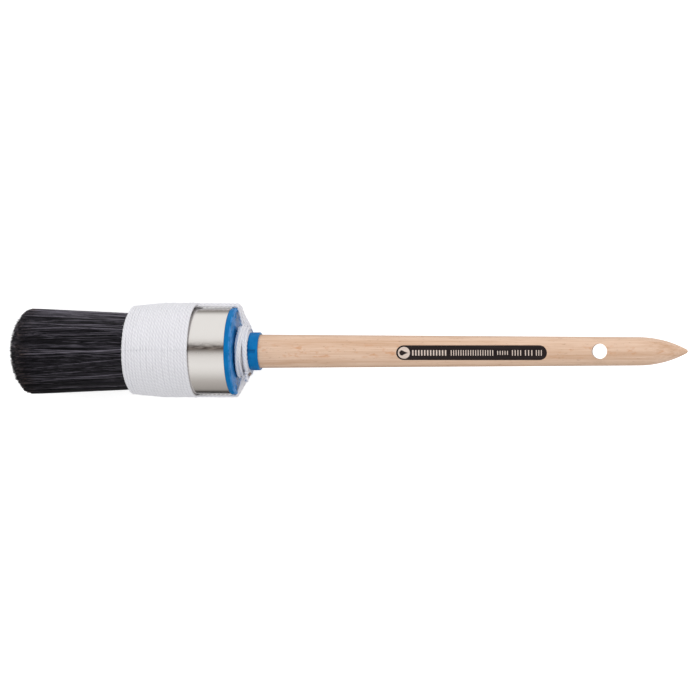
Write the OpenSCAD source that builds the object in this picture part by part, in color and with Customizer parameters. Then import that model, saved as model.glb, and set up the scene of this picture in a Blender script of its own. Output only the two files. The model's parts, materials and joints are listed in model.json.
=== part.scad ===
// Round ring brush with a cord binding, lying flat.
//
// The brush's axis runs along X: the bristle tip points to -X and the handle
// point to +X. +Z is up, and the origin is the middle of the brush's outline
// on the surface that it lies on. "Station" means the distance from the
// bristle tip along the axis.

/* [Bristles] */
// Length of bristle that shows in front of the binding
bristle_l = 50; // [35:1:70]
// How far the fullest part stands outside the ferrule's bore, on the radius
bristle_flare = 0.9; // [0:0.1:3]
// Height of the rounded tip
dome_h = 9.2; // [5:0.1:15]
// How far the first turns squeeze the bundle, on the radius
waist_squeeze = 1.2; // [0.2:0.1:2]
// Length over which the squeezed bundle regains its full root diameter
waist_l = 14; // [8:0.5:20]
// Length of hair behind the binding, up to the setting
root_l = 6; // [3:0.5:8]

/* [Core plug] */
// Diameter of the plug that makes the bundle a ring
core_d = 12; // [8:0.5:16]
// Length of the plug in front of the setting
core_l = 22; // [12:1:26]
// Length of the plug's pointed nose
core_nose_l = 7; // [4:0.5:12]

/* [Ferrule] */
// Outside diameter of the steel band
ferrule_d = 35; // [26:0.5:50]
// Sheet thickness of the band
ferrule_wall = 0.5; // [0.3:0.05:0.8]
// Length of band that shows between binding and cap
ferrule_show = 14.3; // [9:0.1:25]
// Length of band hidden under the binding
ferrule_lap = 6; // [3:0.5:10]
// Width of the butt seam
seam_w = 1.8; // [1:0.1:3]
// Depth of the butt seam's groove
seam_depth = 0.12; // [0.05:0.01:0.2]
// Angle of the seam from the top, towards +Y
seam_angle = 4; // [0:1:20]

/* [End cap] */
// How far the cap's rim stands outside the ferrule, on the radius
rim_over = 0.15; // [0:0.05:1]
// Thickness of the rim
rim_t = 2.4; // [2:0.1:4]
// Rounding of the rim's edges
rim_round = 0.5; // [0.3:0.1:0.8]
// Depth of the dish in the cap's back face
dish_depth = 0.7; // [0.3:0.1:1]
// Width of the lip round the dish
lip_w = 1.5; // [1:0.1:3]
// Length of the skirt inside the ferrule
skirt_l = 4.2; // [3:0.1:6]
// Wall of the skirt
skirt_wall = 1.3; // [0.8:0.1:2]
// Wall that closes the cap in front of the handle
web_t = 1.1; // [0.8:0.1:1.3]
// Wall of the neck round the handle's tenon
neck_wall = 1.35; // [1:0.05:2]
// Length of the neck between rim and collar
neck_l = 5.1; // [5.1:0.1:8]
// Wall of the collar round the handle
collar_wall = 0.9; // [0.8:0.05:1.6]
// Length of the collar
collar_l = 4.1; // [3:0.1:8]
// Depth of the collar's seat for the full handle diameter
seat_depth = 3.3; // [2:0.1:3.6]
// Width of the moulded slot along the collar
slot_w = 1.2; // [0.8:0.1:1.6]
// Depth of the moulded slot
slot_depth = 0.35; // [0.2:0.05:0.5]

/* [Handle] */
// Length of handle that shows behind the collar
handle_l = 170.6; // [120:1:220]
// Diameter at the collar
handle_d = 13.5; // [11:0.1:17]
// Diameter where the pointed end starts
handle_end_d = 11.2; // [9:0.1:13]
// Length of the pointed end
point_l = 20; // [12:0.5:30]
// Diameter of the blunted point
point_d = 1.0; // [0.6:0.1:2]
// Width of the shoulder between the handle and its tenon
shoulder_w = 1.25; // [0.8:0.05:2]
// Diameter of the hanging hole
hole_d = 6; // [4:0.1:7]
// Distance of the hanging hole from the point
hole_from_point = 34.3; // [30:0.1:45]

/* [Binding cord] */
// Diameter of the twisted cord
cord_d = 1.25; // [1:0.05:1.5]
// Gap between neighbouring turns
turn_gap = 0.02; // [0.01:0.01:0.1]
// Number of turns in the outer layer
turns = 22; // [18:1:26]
// Number of strands in each strap over the ferrule
strap_strands = 4; // [2:1:6]
// Number of turns in the lowest row of the neck lashing
neck_turns = 3; // [2:1:3]
// Size of the overhand knot, from its middle to a lobe
knot_r = 1.56; // [1.5:0.02:2]
// Diameter of the cord where the knot squeezes it
knot_cord_d = 0.84; // [0.7:0.02:0.9]
// Angle of the knot above the side strap
knot_angle = 26; // [24:1:60]
// Length of the trimmed end behind the knot
tail_l = 2; // [1:0.1:4]

/* [Clearances] */
// Glued and pressed seats, on the radius
seat_gap = 0.05; // [0.02:0.01:0.1]
// Cord to the surface under it
lay_gap = 0.06; // [0.03:0.01:0.1]

/* [Hidden] */

ROUND = 96;
TUBE_SIDES = 8;
DOME_STEPS = 14;
POINT_STEPS = 16;
BEND_STEPS = 4;
KNOT_STEPS = 36;

// Shape of the handle's pointed end: 1 is a cone, higher is fuller.
POINT_POWER = 2.2;
// Half the arc that shows on each side of a turn, and its steps.
ARC_HALF = 68;
ARC_STEPS = 6;

// Radii
ferrule_r = ferrule_d / 2;
ferrule_bore_r = ferrule_r - ferrule_wall;
root_r = ferrule_bore_r - 2 * seat_gap;
bristle_r = ferrule_bore_r + bristle_flare;
waist_r = root_r - waist_squeeze;
rim_r = ferrule_r + rim_over;
skirt_r = ferrule_bore_r - seat_gap;
skirt_bore_r = skirt_r - skirt_wall;
handle_r = handle_d / 2;
handle_end_r = handle_end_d / 2;
seat_r = handle_r + seat_gap;
tenon_r = handle_r - shoulder_w;
neck_r = tenon_r + seat_gap + neck_wall;
collar_r = seat_r + collar_wall;
core_r = core_d / 2;
cord_r = cord_d / 2;
cord_pitch = cord_d + turn_gap;

// Stations along the axis
bind_start = bristle_l;
bind_end = bind_start + turns * cord_pitch;
ferrule_start = bind_end - ferrule_lap;
rim_start = bind_end + ferrule_show;
rim_end = rim_start + rim_t;
dish_floor = rim_end - dish_depth;
collar_start = rim_end + neck_l;
collar_end = collar_start + collar_l;
skirt_start = rim_start - skirt_l;
root_end = bind_end + root_l;
core_start = root_end - core_l;
seat_floor = collar_end - seat_depth;
tenon_start = rim_start + web_t;
point_tip = collar_end + handle_l;
point_start = point_tip - point_l;
hole_x = point_tip - hole_from_point;
overall_l = point_tip;

// Distance between the layers of nested turns
layer_rise = sqrt(pow(cord_d + lay_gap, 2) - pow(cord_pitch / 2, 2));
// Radius of the hair bundle where the turns lie on it
function bundle_r(x) =
    let (t = min(1, max(0, (x - bind_start) / waist_l)))
    waist_r + (root_r - waist_r) * t;
// Radius of the middle of a turn at a station, by layer
function turn_r(x, layer) = bundle_r(x) + lay_gap + cord_r + layer * layer_rise;
// Height of the axis above the surface: the outer layer touches it
axis_h = turn_r(bind_end, 1) + cord_r;

// The strap's strands turn round the rim's edge and run to the collar lashing
strap_r = rim_r + cord_r + lay_gap;
edge_x = rim_end - rim_round;
edge_r = rim_r - rim_round;
bend_r = strap_r - edge_r;
neck_row_r = neck_r + lay_gap + cord_r;
collar_turn_x = collar_start - cord_r - 2 * lay_gap;
lace_x = collar_turn_x + cord_r;
lace_r = neck_row_r + layer_rise + cord_d + 2 * lay_gap;
lace_run = norm([lace_x - edge_x, lace_r - edge_r]);
lace_angle = atan2(lace_r - edge_r, lace_x - edge_x) + acos(bend_r / lace_run);

// ---- Placement -------------------------------------------------------------

// Puts a shape drawn at the axis onto the given station.
module at_station(x) {
    translate([x - overall_l / 2, 0, axis_h]) children();
}

// Turns a profile of [radius, station] points round the brush's axis.
module lathe(sides = ROUND) {
    at_station(0) rotate([0, 90, 0]) rotate_extrude($fn = sides) children();
}

// ---- Cord shapes -------------------------------------------------------------

function unit(v) = v / norm(v);

// One ring of a tube round point p, square to the direction t.
function tube_ring(p, t, r) =
    let (u = unit(cross(t, [0, 0, 1])), w = unit(cross(u, t)))
    [for (k = [0 : TUBE_SIDES - 1])
        let (a = 360 * k / TUBE_SIDES)
        p + r * (cos(a) * u + sin(a) * w)];

// Closed tube along an open path.
module cord_run(path, r) {
    n = len(path);
    rings = [for (i = [0 : n - 1])
        each tube_ring(path[i], path[min(i + 1, n - 1)] - path[max(i - 1, 0)], r)];
    sides = [for (i = [0 : n - 2], k = [0 : TUBE_SIDES - 1])
        let (a = i * TUBE_SIDES + k, b = i * TUBE_SIDES + (k + 1) % TUBE_SIDES)
        [a, b, b + TUBE_SIDES, a + TUBE_SIDES]];
    first = [for (k = [TUBE_SIDES - 1 : -1 : 0]) k];
    last = [for (k = [0 : TUBE_SIDES - 1]) (n - 1) * TUBE_SIDES + k];
    polyhedron(points = rings, faces = concat(sides, [first, last]), convexity = 4);
}

// Closed tube along a closed path.
module cord_loop(path, r) {
    n = len(path);
    rings = [for (i = [0 : n - 1])
        each tube_ring(path[i], path[(i + 1) % n] - path[(i + n - 1) % n], r)];
    sides = [for (i = [0 : n - 1], k = [0 : TUBE_SIDES - 1])
        let (j = (i + 1) % n, m = (k + 1) % TUBE_SIDES)
        [i * TUBE_SIDES + k, i * TUBE_SIDES + m, j * TUBE_SIDES + m, j * TUBE_SIDES + k]];
    polyhedron(points = rings, faces = sides, convexity = 6);
}

// Scalloped outline of a row of side-by-side turns, joined through their middles.
function row_outline(mids, r) =
    let (
        last = len(mids) - 1,
        along = unit(mids[last] - mids[0]),
        out = [along[1], -along[0]],
        arc = [for (j = [0 : ARC_STEPS]) ARC_HALF * (2 * j / ARC_STEPS - 1)])
    concat(
        [for (m = mids, a = arc) m + r * (cos(a) * out + sin(a) * along)],
        [for (i = [last : -1 : 0], a = arc) mids[i] - r * (cos(a) * out + sin(a) * along)]);

// ---- Hair and setting --------------------------------------------------------

// Mixed hair, packed as one bundle round the core plug.
module bristle_pack() {
    dome = [for (i = [1 : DOME_STEPS])
        let (a = 90 * i / DOME_STEPS)
        [bristle_r * sin(a), dome_h * (1 - cos(a))]];
    bore = core_r + seat_gap;
    color([0.13, 0.12, 0.13]) lathe() polygon(concat(
        [[0, 0]],
        dome,
        [[waist_r, bind_start],
         [root_r, bind_start + waist_l],
         [root_r, root_end],
         [bore, root_end],
         [bore, core_start + core_nose_l],
         [0, core_start - seat_gap]]));
}

// Pointed plug that spreads the hair into a ring.
module core_plug() {
    color("tan") lathe() polygon([
        [0, core_start],
        [core_r, core_start + core_nose_l],
        [core_r, rim_start - seat_gap],
        [0, rim_start - seat_gap]]);
}

// Cast block that locks the hair roots, stepped to fill the cap's skirt.
module setting_resin() {
    bore = core_r + seat_gap;
    color([0.75, 0.62, 0.35]) lathe() polygon([
        [bore, root_end + seat_gap],
        [root_r, root_end + seat_gap],
        [root_r, skirt_start - seat_gap],
        [skirt_bore_r - seat_gap, skirt_start - seat_gap],
        [skirt_bore_r - seat_gap, rim_start - seat_gap],
        [bore, rim_start - seat_gap]]);
}

// ---- Ferrule -------------------------------------------------------------------

// Plated steel band with a butt seam along its top.
module ferrule() {
    band_l = rim_start - seat_gap - ferrule_start;
    color([0.87, 0.85, 0.82]) difference() {
        lathe() polygon([
            [ferrule_bore_r, ferrule_start],
            [ferrule_r, ferrule_start],
            [ferrule_r, ferrule_start + band_l],
            [ferrule_bore_r, ferrule_start + band_l]]);
        at_station(ferrule_start + band_l / 2) rotate([-seam_angle, 0, 0])
            translate([0, 0, ferrule_r - seam_depth + ferrule_wall])
                cube([band_l + 2, seam_w, 2 * ferrule_wall], center = true);
    }
}

// ---- End cap -------------------------------------------------------------------

// Quarter-round corner of a profile, from angle a to angle b.
function corner(mid, r, a, b, steps = 4) =
    [for (i = [0 : steps]) let (t = a + (b - a) * i / steps) mid + r * [cos(t), sin(t)]];

// Moulded cap: skirt in the ferrule, rim, dished back, neck and collar.
module end_cap() {
    lip_r = rim_r - lip_w;
    collar_round = min(0.4, (collar_r - seat_r) / 2);
    slot_l = collar_l - collar_round - 0.4;
    color([0.0, 0.44, 0.72]) difference() {
        lathe() polygon(concat(
            [[0, rim_start],
             [skirt_bore_r, rim_start],
             [skirt_bore_r, skirt_start],
             [skirt_r, skirt_start],
             [skirt_r, rim_start]],
            corner([rim_r - rim_round, rim_start + rim_round], rim_round, -90, 0),
            corner([edge_r, edge_x], rim_round, 0, 90),
            [[lip_r, rim_end],
             [lip_r - dish_depth, dish_floor],
             [neck_r, dish_floor],
             [neck_r, collar_start],
             [collar_r, collar_start]],
            corner([collar_r - collar_round, collar_end - collar_round], collar_round, 0, 90),
            [[seat_r, collar_end],
             [seat_r, seat_floor],
             [tenon_r + seat_gap, seat_floor],
             [tenon_r + seat_gap, tenon_start],
             [0, tenon_start]]));
        at_station(collar_start + slot_l / 2)
            translate([0, 0, collar_r - slot_depth + 1])
                cube([slot_l + 0.02, slot_w, 2], center = true);
    }
}

// ---- Handle --------------------------------------------------------------------

// Radius of the pointed end at a distance u in front of its tip.
function point_r(u) =
    point_d / 2 + (handle_end_r - point_d / 2) * (1 - pow(1 - u / point_l, POINT_POWER));

// Turned handle with tenon, slow taper, pointed end and hanging hole.
module handle() {
    chamfer = 0.6;
    nose = point_d / 2;
    point = [for (i = [0 : POINT_STEPS - 1])
        let (u = point_l * pow(1 - i / POINT_STEPS, 1.3))
        if (u > nose * 1.2) [point_r(u), point_tip - u]];
    color([0.87, 0.74, 0.62]) difference() {
        lathe() polygon(concat(
            [[0, tenon_start + seat_gap],
             [tenon_r - chamfer, tenon_start + seat_gap],
             [tenon_r, tenon_start + seat_gap + chamfer],
             [tenon_r, seat_floor + seat_gap],
             [handle_r, seat_floor + seat_gap],
             [handle_r, collar_end]],
            point,
            [[point_r(nose), point_tip - nose],
             [nose * 0.7, point_tip - nose * 0.3],
             [0, point_tip]]));
        at_station(hole_x) cylinder(h = handle_d + 2, r = hole_d / 2, center = true, $fn = 64);
    }
}

// ---- Binding -------------------------------------------------------------------

// First layer of turns, on the hair, up to the ferrule's front edge.
module binding_base_layer() {
    count = floor((ferrule_start - lay_gap - bind_start) / cord_pitch);
    mids = [for (i = [0 : count - 1])
        let (x = bind_start + cord_r + i * cord_pitch)
        [turn_r(x, 0), x]];
    color([0.84, 0.84, 0.87]) lathe() polygon(row_outline(mids, cord_r));
}

// Second layer of turns, nested on the first and closing over the ferrule.
module binding_outer_layer() {
    mids = [for (i = [1 : turns - 1])
        let (x = bind_start + cord_r + (i - 0.5) * cord_pitch)
        [turn_r(x, 1), x]];
    color([0.90, 0.90, 0.93]) lathe() polygon(row_outline(mids, cord_r));
}

// Strands over the ferrule, round the rim's edge and down to the neck.
module strap(side) {
    half = (strap_strands - 1) / 2;
    step = cord_d + lay_gap;
    start_x = bind_end + lay_gap;
    run = concat(
        [[start_x, strap_r], [(start_x + edge_x) / 2, strap_r]],
        [for (i = [0 : BEND_STEPS])
            let (a = 90 + (lace_angle - 90) * i / BEND_STEPS)
            [edge_x + bend_r * cos(a), edge_r + bend_r * sin(a)]],
        [[lace_x, lace_r]]);
    for (k = [-half : half]) {
        z = k * step;
        path = [for (p = run) [p[0], side * sqrt(pow(p[1], 2) - pow(z, 2)), z]];
        at_station(0) cord_run(path, cord_r);
    }
}

module strap_left() {
    color([0.86, 0.86, 0.90]) strap(1);
}

module strap_right() {
    color([0.86, 0.86, 0.90]) strap(-1);
}

// Turns heaped round the neck against the cap's back.
module neck_lashing() {
    first_x = rim_end + lay_gap + cord_r;
    pitch = (collar_turn_x - first_x - cord_d - lay_gap) / (neck_turns - 1);
    rise = sqrt(pow(cord_d, 2) - pow(pitch / 2, 2)) * 0.96;
    color([0.92, 0.92, 0.95]) lathe() union() {
        for (row = [0 : neck_turns - 1], i = [0 : neck_turns - 1 - row])
            translate([neck_row_r + row * rise, first_x + (i + row / 2) * pitch])
                circle(r = cord_r, $fn = 48);
        polygon([
            [neck_row_r - cord_r * 0.5, first_x],
            [neck_row_r + (neck_turns - 1) * rise, first_x + (neck_turns - 1) / 2 * pitch],
            [neck_row_r - cord_r * 0.5, first_x + (neck_turns - 1) * pitch]]);
    }
}

// Two turns, one on the other, against the collar's face.
module collar_lashing() {
    color([0.88, 0.88, 0.92]) lathe() polygon(row_outline([
        [neck_row_r, collar_turn_x],
        [neck_row_r + cord_d * 0.9, collar_turn_x]], cord_r));
}

// Overhand knot, on the lashing above the right strap.
module knot() {
    s = knot_r / 3;
    pull = knot_cord_d / 2;
    radius = neck_row_r + cord_d * 0.9 + cord_r + knot_r + pull + 2 * lay_gap;
    path = [for (i = [0 : KNOT_STEPS - 1])
        let (t = 360 * i / KNOT_STEPS)
        s * [sin(t) + 2 * sin(2 * t), cos(t) - 2 * cos(2 * t), -sin(3 * t)]];
    color([0.85, 0.85, 0.88]) at_station(collar_turn_x)
        rotate([-knot_angle, 0, 0]) translate([0, -radius, 0])
            rotate([0, 90, 0]) cord_loop(path, pull);
}

// Trimmed end of the cord, from the knot over the collar.
module cord_tail() {
    start_x = collar_turn_x + knot_r / 3 + knot_cord_d / 2 + lay_gap;
    radius = max(collar_r + cord_r + lay_gap, neck_row_r + cord_d + 2 * cord_r);
    drop = radius - collar_r - cord_r - lay_gap;
    color([0.80, 0.79, 0.80]) at_station(0) rotate([-knot_angle, 0, 0])
        cord_run([
            [start_x, -radius, 0],
            [start_x + tail_l / 2, -(radius - drop * 0.2), 0.2],
            [start_x + tail_l, -(radius - drop * 0.6), 0.6]], cord_r);
}

bristle_pack();
core_plug();
setting_resin();
ferrule();
end_cap();
handle();
binding_base_layer();
binding_outer_layer();
strap_left();
strap_right();
neck_lashing();
collar_lashing();
knot();
cord_tail();
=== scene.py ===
"""Round ring brush with a cord binding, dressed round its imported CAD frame.

The brush lies on a white studio floor. Its axis runs along X, with the bristle
tip at -X, the handle's point at +X and +Z up. All sizes are in metres.
"""

import json
import logging
import math
from collections.abc import Callable
from dataclasses import dataclass, field
from enum import Enum, IntEnum

import bpy
import numpy as np
from mathutils import Matrix, Vector

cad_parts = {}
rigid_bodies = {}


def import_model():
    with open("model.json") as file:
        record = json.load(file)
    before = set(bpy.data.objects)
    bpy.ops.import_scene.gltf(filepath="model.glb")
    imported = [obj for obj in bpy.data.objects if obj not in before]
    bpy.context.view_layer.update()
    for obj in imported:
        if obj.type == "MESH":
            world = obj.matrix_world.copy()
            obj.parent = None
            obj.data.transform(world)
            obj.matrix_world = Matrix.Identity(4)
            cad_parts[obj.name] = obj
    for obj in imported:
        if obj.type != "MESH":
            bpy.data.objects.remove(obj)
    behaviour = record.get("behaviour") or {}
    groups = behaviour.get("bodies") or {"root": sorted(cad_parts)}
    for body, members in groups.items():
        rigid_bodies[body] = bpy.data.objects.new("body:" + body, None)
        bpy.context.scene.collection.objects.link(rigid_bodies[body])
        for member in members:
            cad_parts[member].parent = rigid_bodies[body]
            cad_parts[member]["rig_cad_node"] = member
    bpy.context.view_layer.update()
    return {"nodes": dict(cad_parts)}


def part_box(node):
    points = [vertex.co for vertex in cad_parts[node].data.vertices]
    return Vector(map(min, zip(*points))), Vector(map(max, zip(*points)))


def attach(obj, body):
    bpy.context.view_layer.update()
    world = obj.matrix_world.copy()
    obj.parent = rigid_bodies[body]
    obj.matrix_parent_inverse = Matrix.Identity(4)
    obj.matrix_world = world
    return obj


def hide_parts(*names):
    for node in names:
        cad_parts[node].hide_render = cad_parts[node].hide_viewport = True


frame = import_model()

LOG = logging.getLogger("ring_brush")
MM = 0.001
TURN = 2 * math.pi
WHITE = (1.0, 1.0, 1.0, 1.0)

# The cap's neck, which the cord is lashed round.
NECK_RADIUS = 6.9 * MM
# The handle where its pointed end starts.
HANDLE_END_RADIUS = 5.6 * MM
# The camera looks at this station.
LOOK_STATION = 140.4 * MM
# Room inside the bundle's full width for hairs that stand off it.
STRAY_ROOM = 0.15 * MM
# Length of the bundle inside the head that has no separate hairs.
HIDDEN_ROOT = 26 * MM
# The winding sits a little to the left of the axis.
WINDING_SHIFT = 0.55 * MM
# The lashings press this far into the cap.
SNUG = 0.06 * MM

Numbers = float | np.ndarray
Source = bpy.types.NodeSocket | float | tuple


class Seed(IntEnum):
    """Seeds of the random draws of each piece."""

    HAIR_LOCKS = 11
    HAIR_TIPS = 23
    OUTER_TURNS = 31
    BASE_TURNS = 37
    OUTER_CORD = 41
    BASE_CORD = 43
    STRAP_STRANDS = 55
    STRAP_CORD = 60
    NECK_TURNS = 71
    NECK_CORD = 73
    COLLAR_TURNS = 77
    COLLAR_CORD = 79
    KNOT = 83
    TRIMMED_END = 89
    FUZZ = 97


# ---- Placement and mesh helpers ------------------------------------------------


@dataclass(frozen=True)
class Axis:
    """The brush's axis: places points by station, radius and angle round it.

    Args:
        tip_x: X of the bristle tip, where the station is 0.
        height: Z of the axis.
        sideways: Y of the axis.
    """

    tip_x: float
    height: float
    sideways: float = 0.0

    def place(self, station: Numbers, radius: Numbers, angle: Numbers) -> np.ndarray:
        """Turns stations, radii and angles into points.

        Args:
            station: Distance from the bristle tip along the axis.
            radius: Distance from the axis.
            angle: Angle from the top, towards +Y.

        Returns:
            The points, with X, Y and Z along the last dimension.
        """
        station, radius, angle = np.broadcast_arrays(station, radius, angle)
        return np.stack(
            [
                self.tip_x + station,
                self.sideways + radius * np.sin(angle),
                self.height + radius * np.cos(angle),
            ],
            axis=-1,
        )

    def station(self, x: float) -> float:
        """The station of a frame X."""
        return x - self.tip_x


def unit(v: np.ndarray) -> np.ndarray:
    """Vectors scaled to length one along the last dimension."""
    length = np.linalg.norm(v, axis=-1, keepdims=True)
    return v / np.maximum(length, 1e-12)


def smooth_noise(
    rng: np.random.Generator, values: np.ndarray, waves: int, low: float, high: float
) -> np.ndarray:
    """A smooth random curve: a sum of sines of random phase.

    Args:
        rng: Source of the random phases.
        values: Where the curve is wanted.
        waves: Number of sines.
        low: Lowest frequency, in radians for each unit of values.
        high: Highest frequency.

    Returns:
        The curve at each value, about -1 to 1.
    """
    out = np.zeros_like(values, dtype=float)
    for frequency in np.geomspace(low, high, waves):
        out += np.sin(values * frequency * rng.uniform(0.85, 1.15) + rng.uniform(0, TURN))
    return out / math.sqrt(waves) * 0.9


def make_object(
    name: str,
    verts: np.ndarray,
    face_groups: list,
    uv_groups: dict,
    point_values: dict,
    smooth: bool = True,
) -> bpy.types.Object:
    """Makes a mesh object from arrays.

    Args:
        name: Name of the object.
        verts: Points, N by 3.
        face_groups: Arrays of vertex numbers, each with its own number of corners.
        uv_groups: UV map name to a list of arrays, one for each face group.
        point_values: Attribute name to one number for each vertex.
        smooth: True to shade the faces smooth.

    Returns:
        The new object, linked to the scene.
    """
    mesh = bpy.data.meshes.new(name)
    loops = np.concatenate([f.reshape(-1) for f in face_groups]).astype(np.int32)
    sizes = np.concatenate([np.full(len(f), f.shape[1], dtype=np.int32) for f in face_groups])
    starts = np.concatenate([[0], np.cumsum(sizes)[:-1]]).astype(np.int32)
    mesh.vertices.add(len(verts))
    mesh.vertices.foreach_set("co", np.asarray(verts, dtype=np.float32).reshape(-1))
    mesh.loops.add(len(loops))
    mesh.loops.foreach_set("vertex_index", loops)
    mesh.polygons.add(len(sizes))
    mesh.polygons.foreach_set("loop_start", starts)
    mesh.update(calc_edges=True)
    for uv_name, groups in uv_groups.items():
        layer = mesh.uv_layers.new(name=uv_name)
        flat = np.concatenate([g.reshape(-1) for g in groups]).astype(np.float32)
        layer.data.foreach_set("uv", flat)
    for value_name, values in point_values.items():
        attribute = mesh.attributes.new(value_name, "FLOAT", "POINT")
        attribute.data.foreach_set("value", np.asarray(values, dtype=np.float32))
    mesh.polygons.foreach_set("use_smooth", np.full(len(sizes), smooth))
    mesh.validate()
    obj = bpy.data.objects.new(name, mesh)
    bpy.context.scene.collection.objects.link(obj)
    return obj


def lengths_along(paths: np.ndarray) -> np.ndarray:
    """Length from the start of each path to each of its points, for paths by rings by 3."""
    steps = np.linalg.norm(np.diff(paths, axis=1), axis=-1)
    return np.concatenate([np.zeros((len(paths), 1)), np.cumsum(steps, axis=1)], axis=1)


def transport_frames(paths: np.ndarray) -> tuple:
    """Untwisted frames along paths.

    Args:
        paths: Points, paths by rings by 3.

    Returns:
        Two arrays of side vectors, square to each path and to each other.
    """
    tangent = np.empty_like(paths)
    tangent[:, 1:-1] = paths[:, 2:] - paths[:, :-2]
    tangent[:, 0] = paths[:, 1] - paths[:, 0]
    tangent[:, -1] = paths[:, -1] - paths[:, -2]
    tangent = unit(tangent)
    side = np.empty_like(paths)
    start = tangent[:, 0]
    steep = 0.8
    helper = np.where(np.abs(start[:, 2:3]) < steep, [[0.0, 0.0, 1.0]], [[0.0, 1.0, 0.0]])
    now = unit(np.cross(start, helper))
    for ring in range(paths.shape[1]):
        t = tangent[:, ring]
        now = unit(now - t * np.sum(now * t, axis=-1, keepdims=True))
        side[:, ring] = now
    return side, np.cross(tangent, side)


@dataclass(frozen=True)
class Atlas:
    """How tubes are laid out in the bake's texture.

    Args:
        rows: Number of strips across the texture.
        rings_per_row: Rings of one long tube in a strip, or 0 where each tube has a strip.
        margin: Share of a strip that stays clear at each of its edges.
        used: Share of a strip between its margins.
    """

    rows: int
    rings_per_row: int = 0
    margin: float = 0.04
    used: float = 0.92

    def height(self, row: np.ndarray, share: np.ndarray) -> np.ndarray:
        """Height in the texture at a share of the way across a row's strip."""
        return (row + self.margin + self.used * share) / self.rows


def face_corners(u_0: np.ndarray, u_1: np.ndarray, v_0: np.ndarray, v_1: np.ndarray) -> np.ndarray:
    """UV corners of tube faces.

    Args:
        u_0: Start of each face along the tube.
        u_1: End of each face along the tube.
        v_0: Start of each face round the tube.
        v_1: End of each face round the tube.

    Returns:
        The corners, faces by 4 by 2.
    """
    along = np.stack([u_0, u_0, u_1, u_1], axis=-1)
    return np.stack([along, np.stack([v_0, v_1, v_1, v_0], axis=-1)], axis=-1)


def sweep_tubes(
    name: str,
    paths: np.ndarray,
    radii: np.ndarray,
    turns: np.ndarray,
    atlas: Atlas,
    tones: np.ndarray,
    heights: np.ndarray | None = None,
    widen: float = 1.0,
) -> bpy.types.Object:
    """Sweeps closed tubes along paths and makes one object of them.

    Args:
        name: Name of the object.
        paths: Points, paths by rings by 3.
        radii: Radius of each vertex, paths by rings by sides.
        turns: Turn of each ring's section, paths by rings.
        atlas: Layout of the bake's texture.
        tones: One random number for each path, kept as the attribute "tone".
        heights: Height of each vertex in its section, kept as "crown".
        widen: Stretch of the sections along the brush.

    Returns:
        The object.
    """
    count, rings, sides = radii.shape
    side, up = transport_frames(paths)
    angle = TURN * np.arange(sides) / sides + turns[..., None]
    verts = paths[:, :, None] + radii[..., None] * (
        np.cos(angle)[..., None] * side[:, :, None] + np.sin(angle)[..., None] * up[:, :, None]
    )
    verts[..., 0] = paths[:, :, None, 0] + (verts[..., 0] - paths[:, :, None, 0]) * widen
    tube, ring, k = np.meshgrid(np.arange(count), np.arange(rings - 1), np.arange(sides), indexing="ij")
    base = (tube * rings + ring) * sides
    after = (k + 1) % sides
    quads = np.stack([base + k, base + after, base + after + sides, base + k + sides], axis=-1).reshape(-1, 4)
    first = (np.arange(count) * rings * sides)[:, None] + np.arange(sides)[::-1]
    last = (np.arange(count) * rings * sides + (rings - 1) * sides)[:, None] + np.arange(sides)

    length = lengths_along(paths)
    tube, ring, k = tube.reshape(-1), ring.reshape(-1), k.reshape(-1)
    round_0, round_1 = k / sides, (k + 1) / sides
    strand_uv = face_corners(length[tube, ring], length[tube, ring + 1], round_0, round_1)
    if atlas.rings_per_row:
        row = ring // atlas.rings_per_row
        u_0 = (ring % atlas.rings_per_row) / atlas.rings_per_row
        u_1 = u_0 + 1 / atlas.rings_per_row
    else:
        row = tube % atlas.rows
        u_0, u_1 = ring / (rings - 1), (ring + 1) / (rings - 1)
    bake_uv = face_corners(u_0, u_1, atlas.height(row, round_0), atlas.height(row, round_1))
    end_uv = np.zeros((count, sides, 2))
    end_uv[..., 0] = 0.002
    end_row = np.arange(count)[:, None] % atlas.rows
    end_uv[..., 1] = (end_row + 0.1 + 0.8 * np.arange(sides) / sides) / atlas.rows
    values = {"tone": np.repeat(tones, rings * sides)}
    values["reach"] = np.repeat(length / length[:, -1:], sides, axis=1).reshape(-1)
    if heights is not None:
        values["crown"] = heights.reshape(-1)
    return make_object(
        name,
        verts.reshape(-1, 3),
        [quads, first, last],
        {"OFBake": [bake_uv, end_uv, end_uv], "Strand": [strand_uv, end_uv, end_uv]},
        values,
    )


def keep_radius(station: float, radius: float, around: np.ndarray) -> np.ndarray:
    """The same radius at each angle of a ring, for an outline that nothing is cut from."""
    return np.full_like(around, radius)


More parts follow.
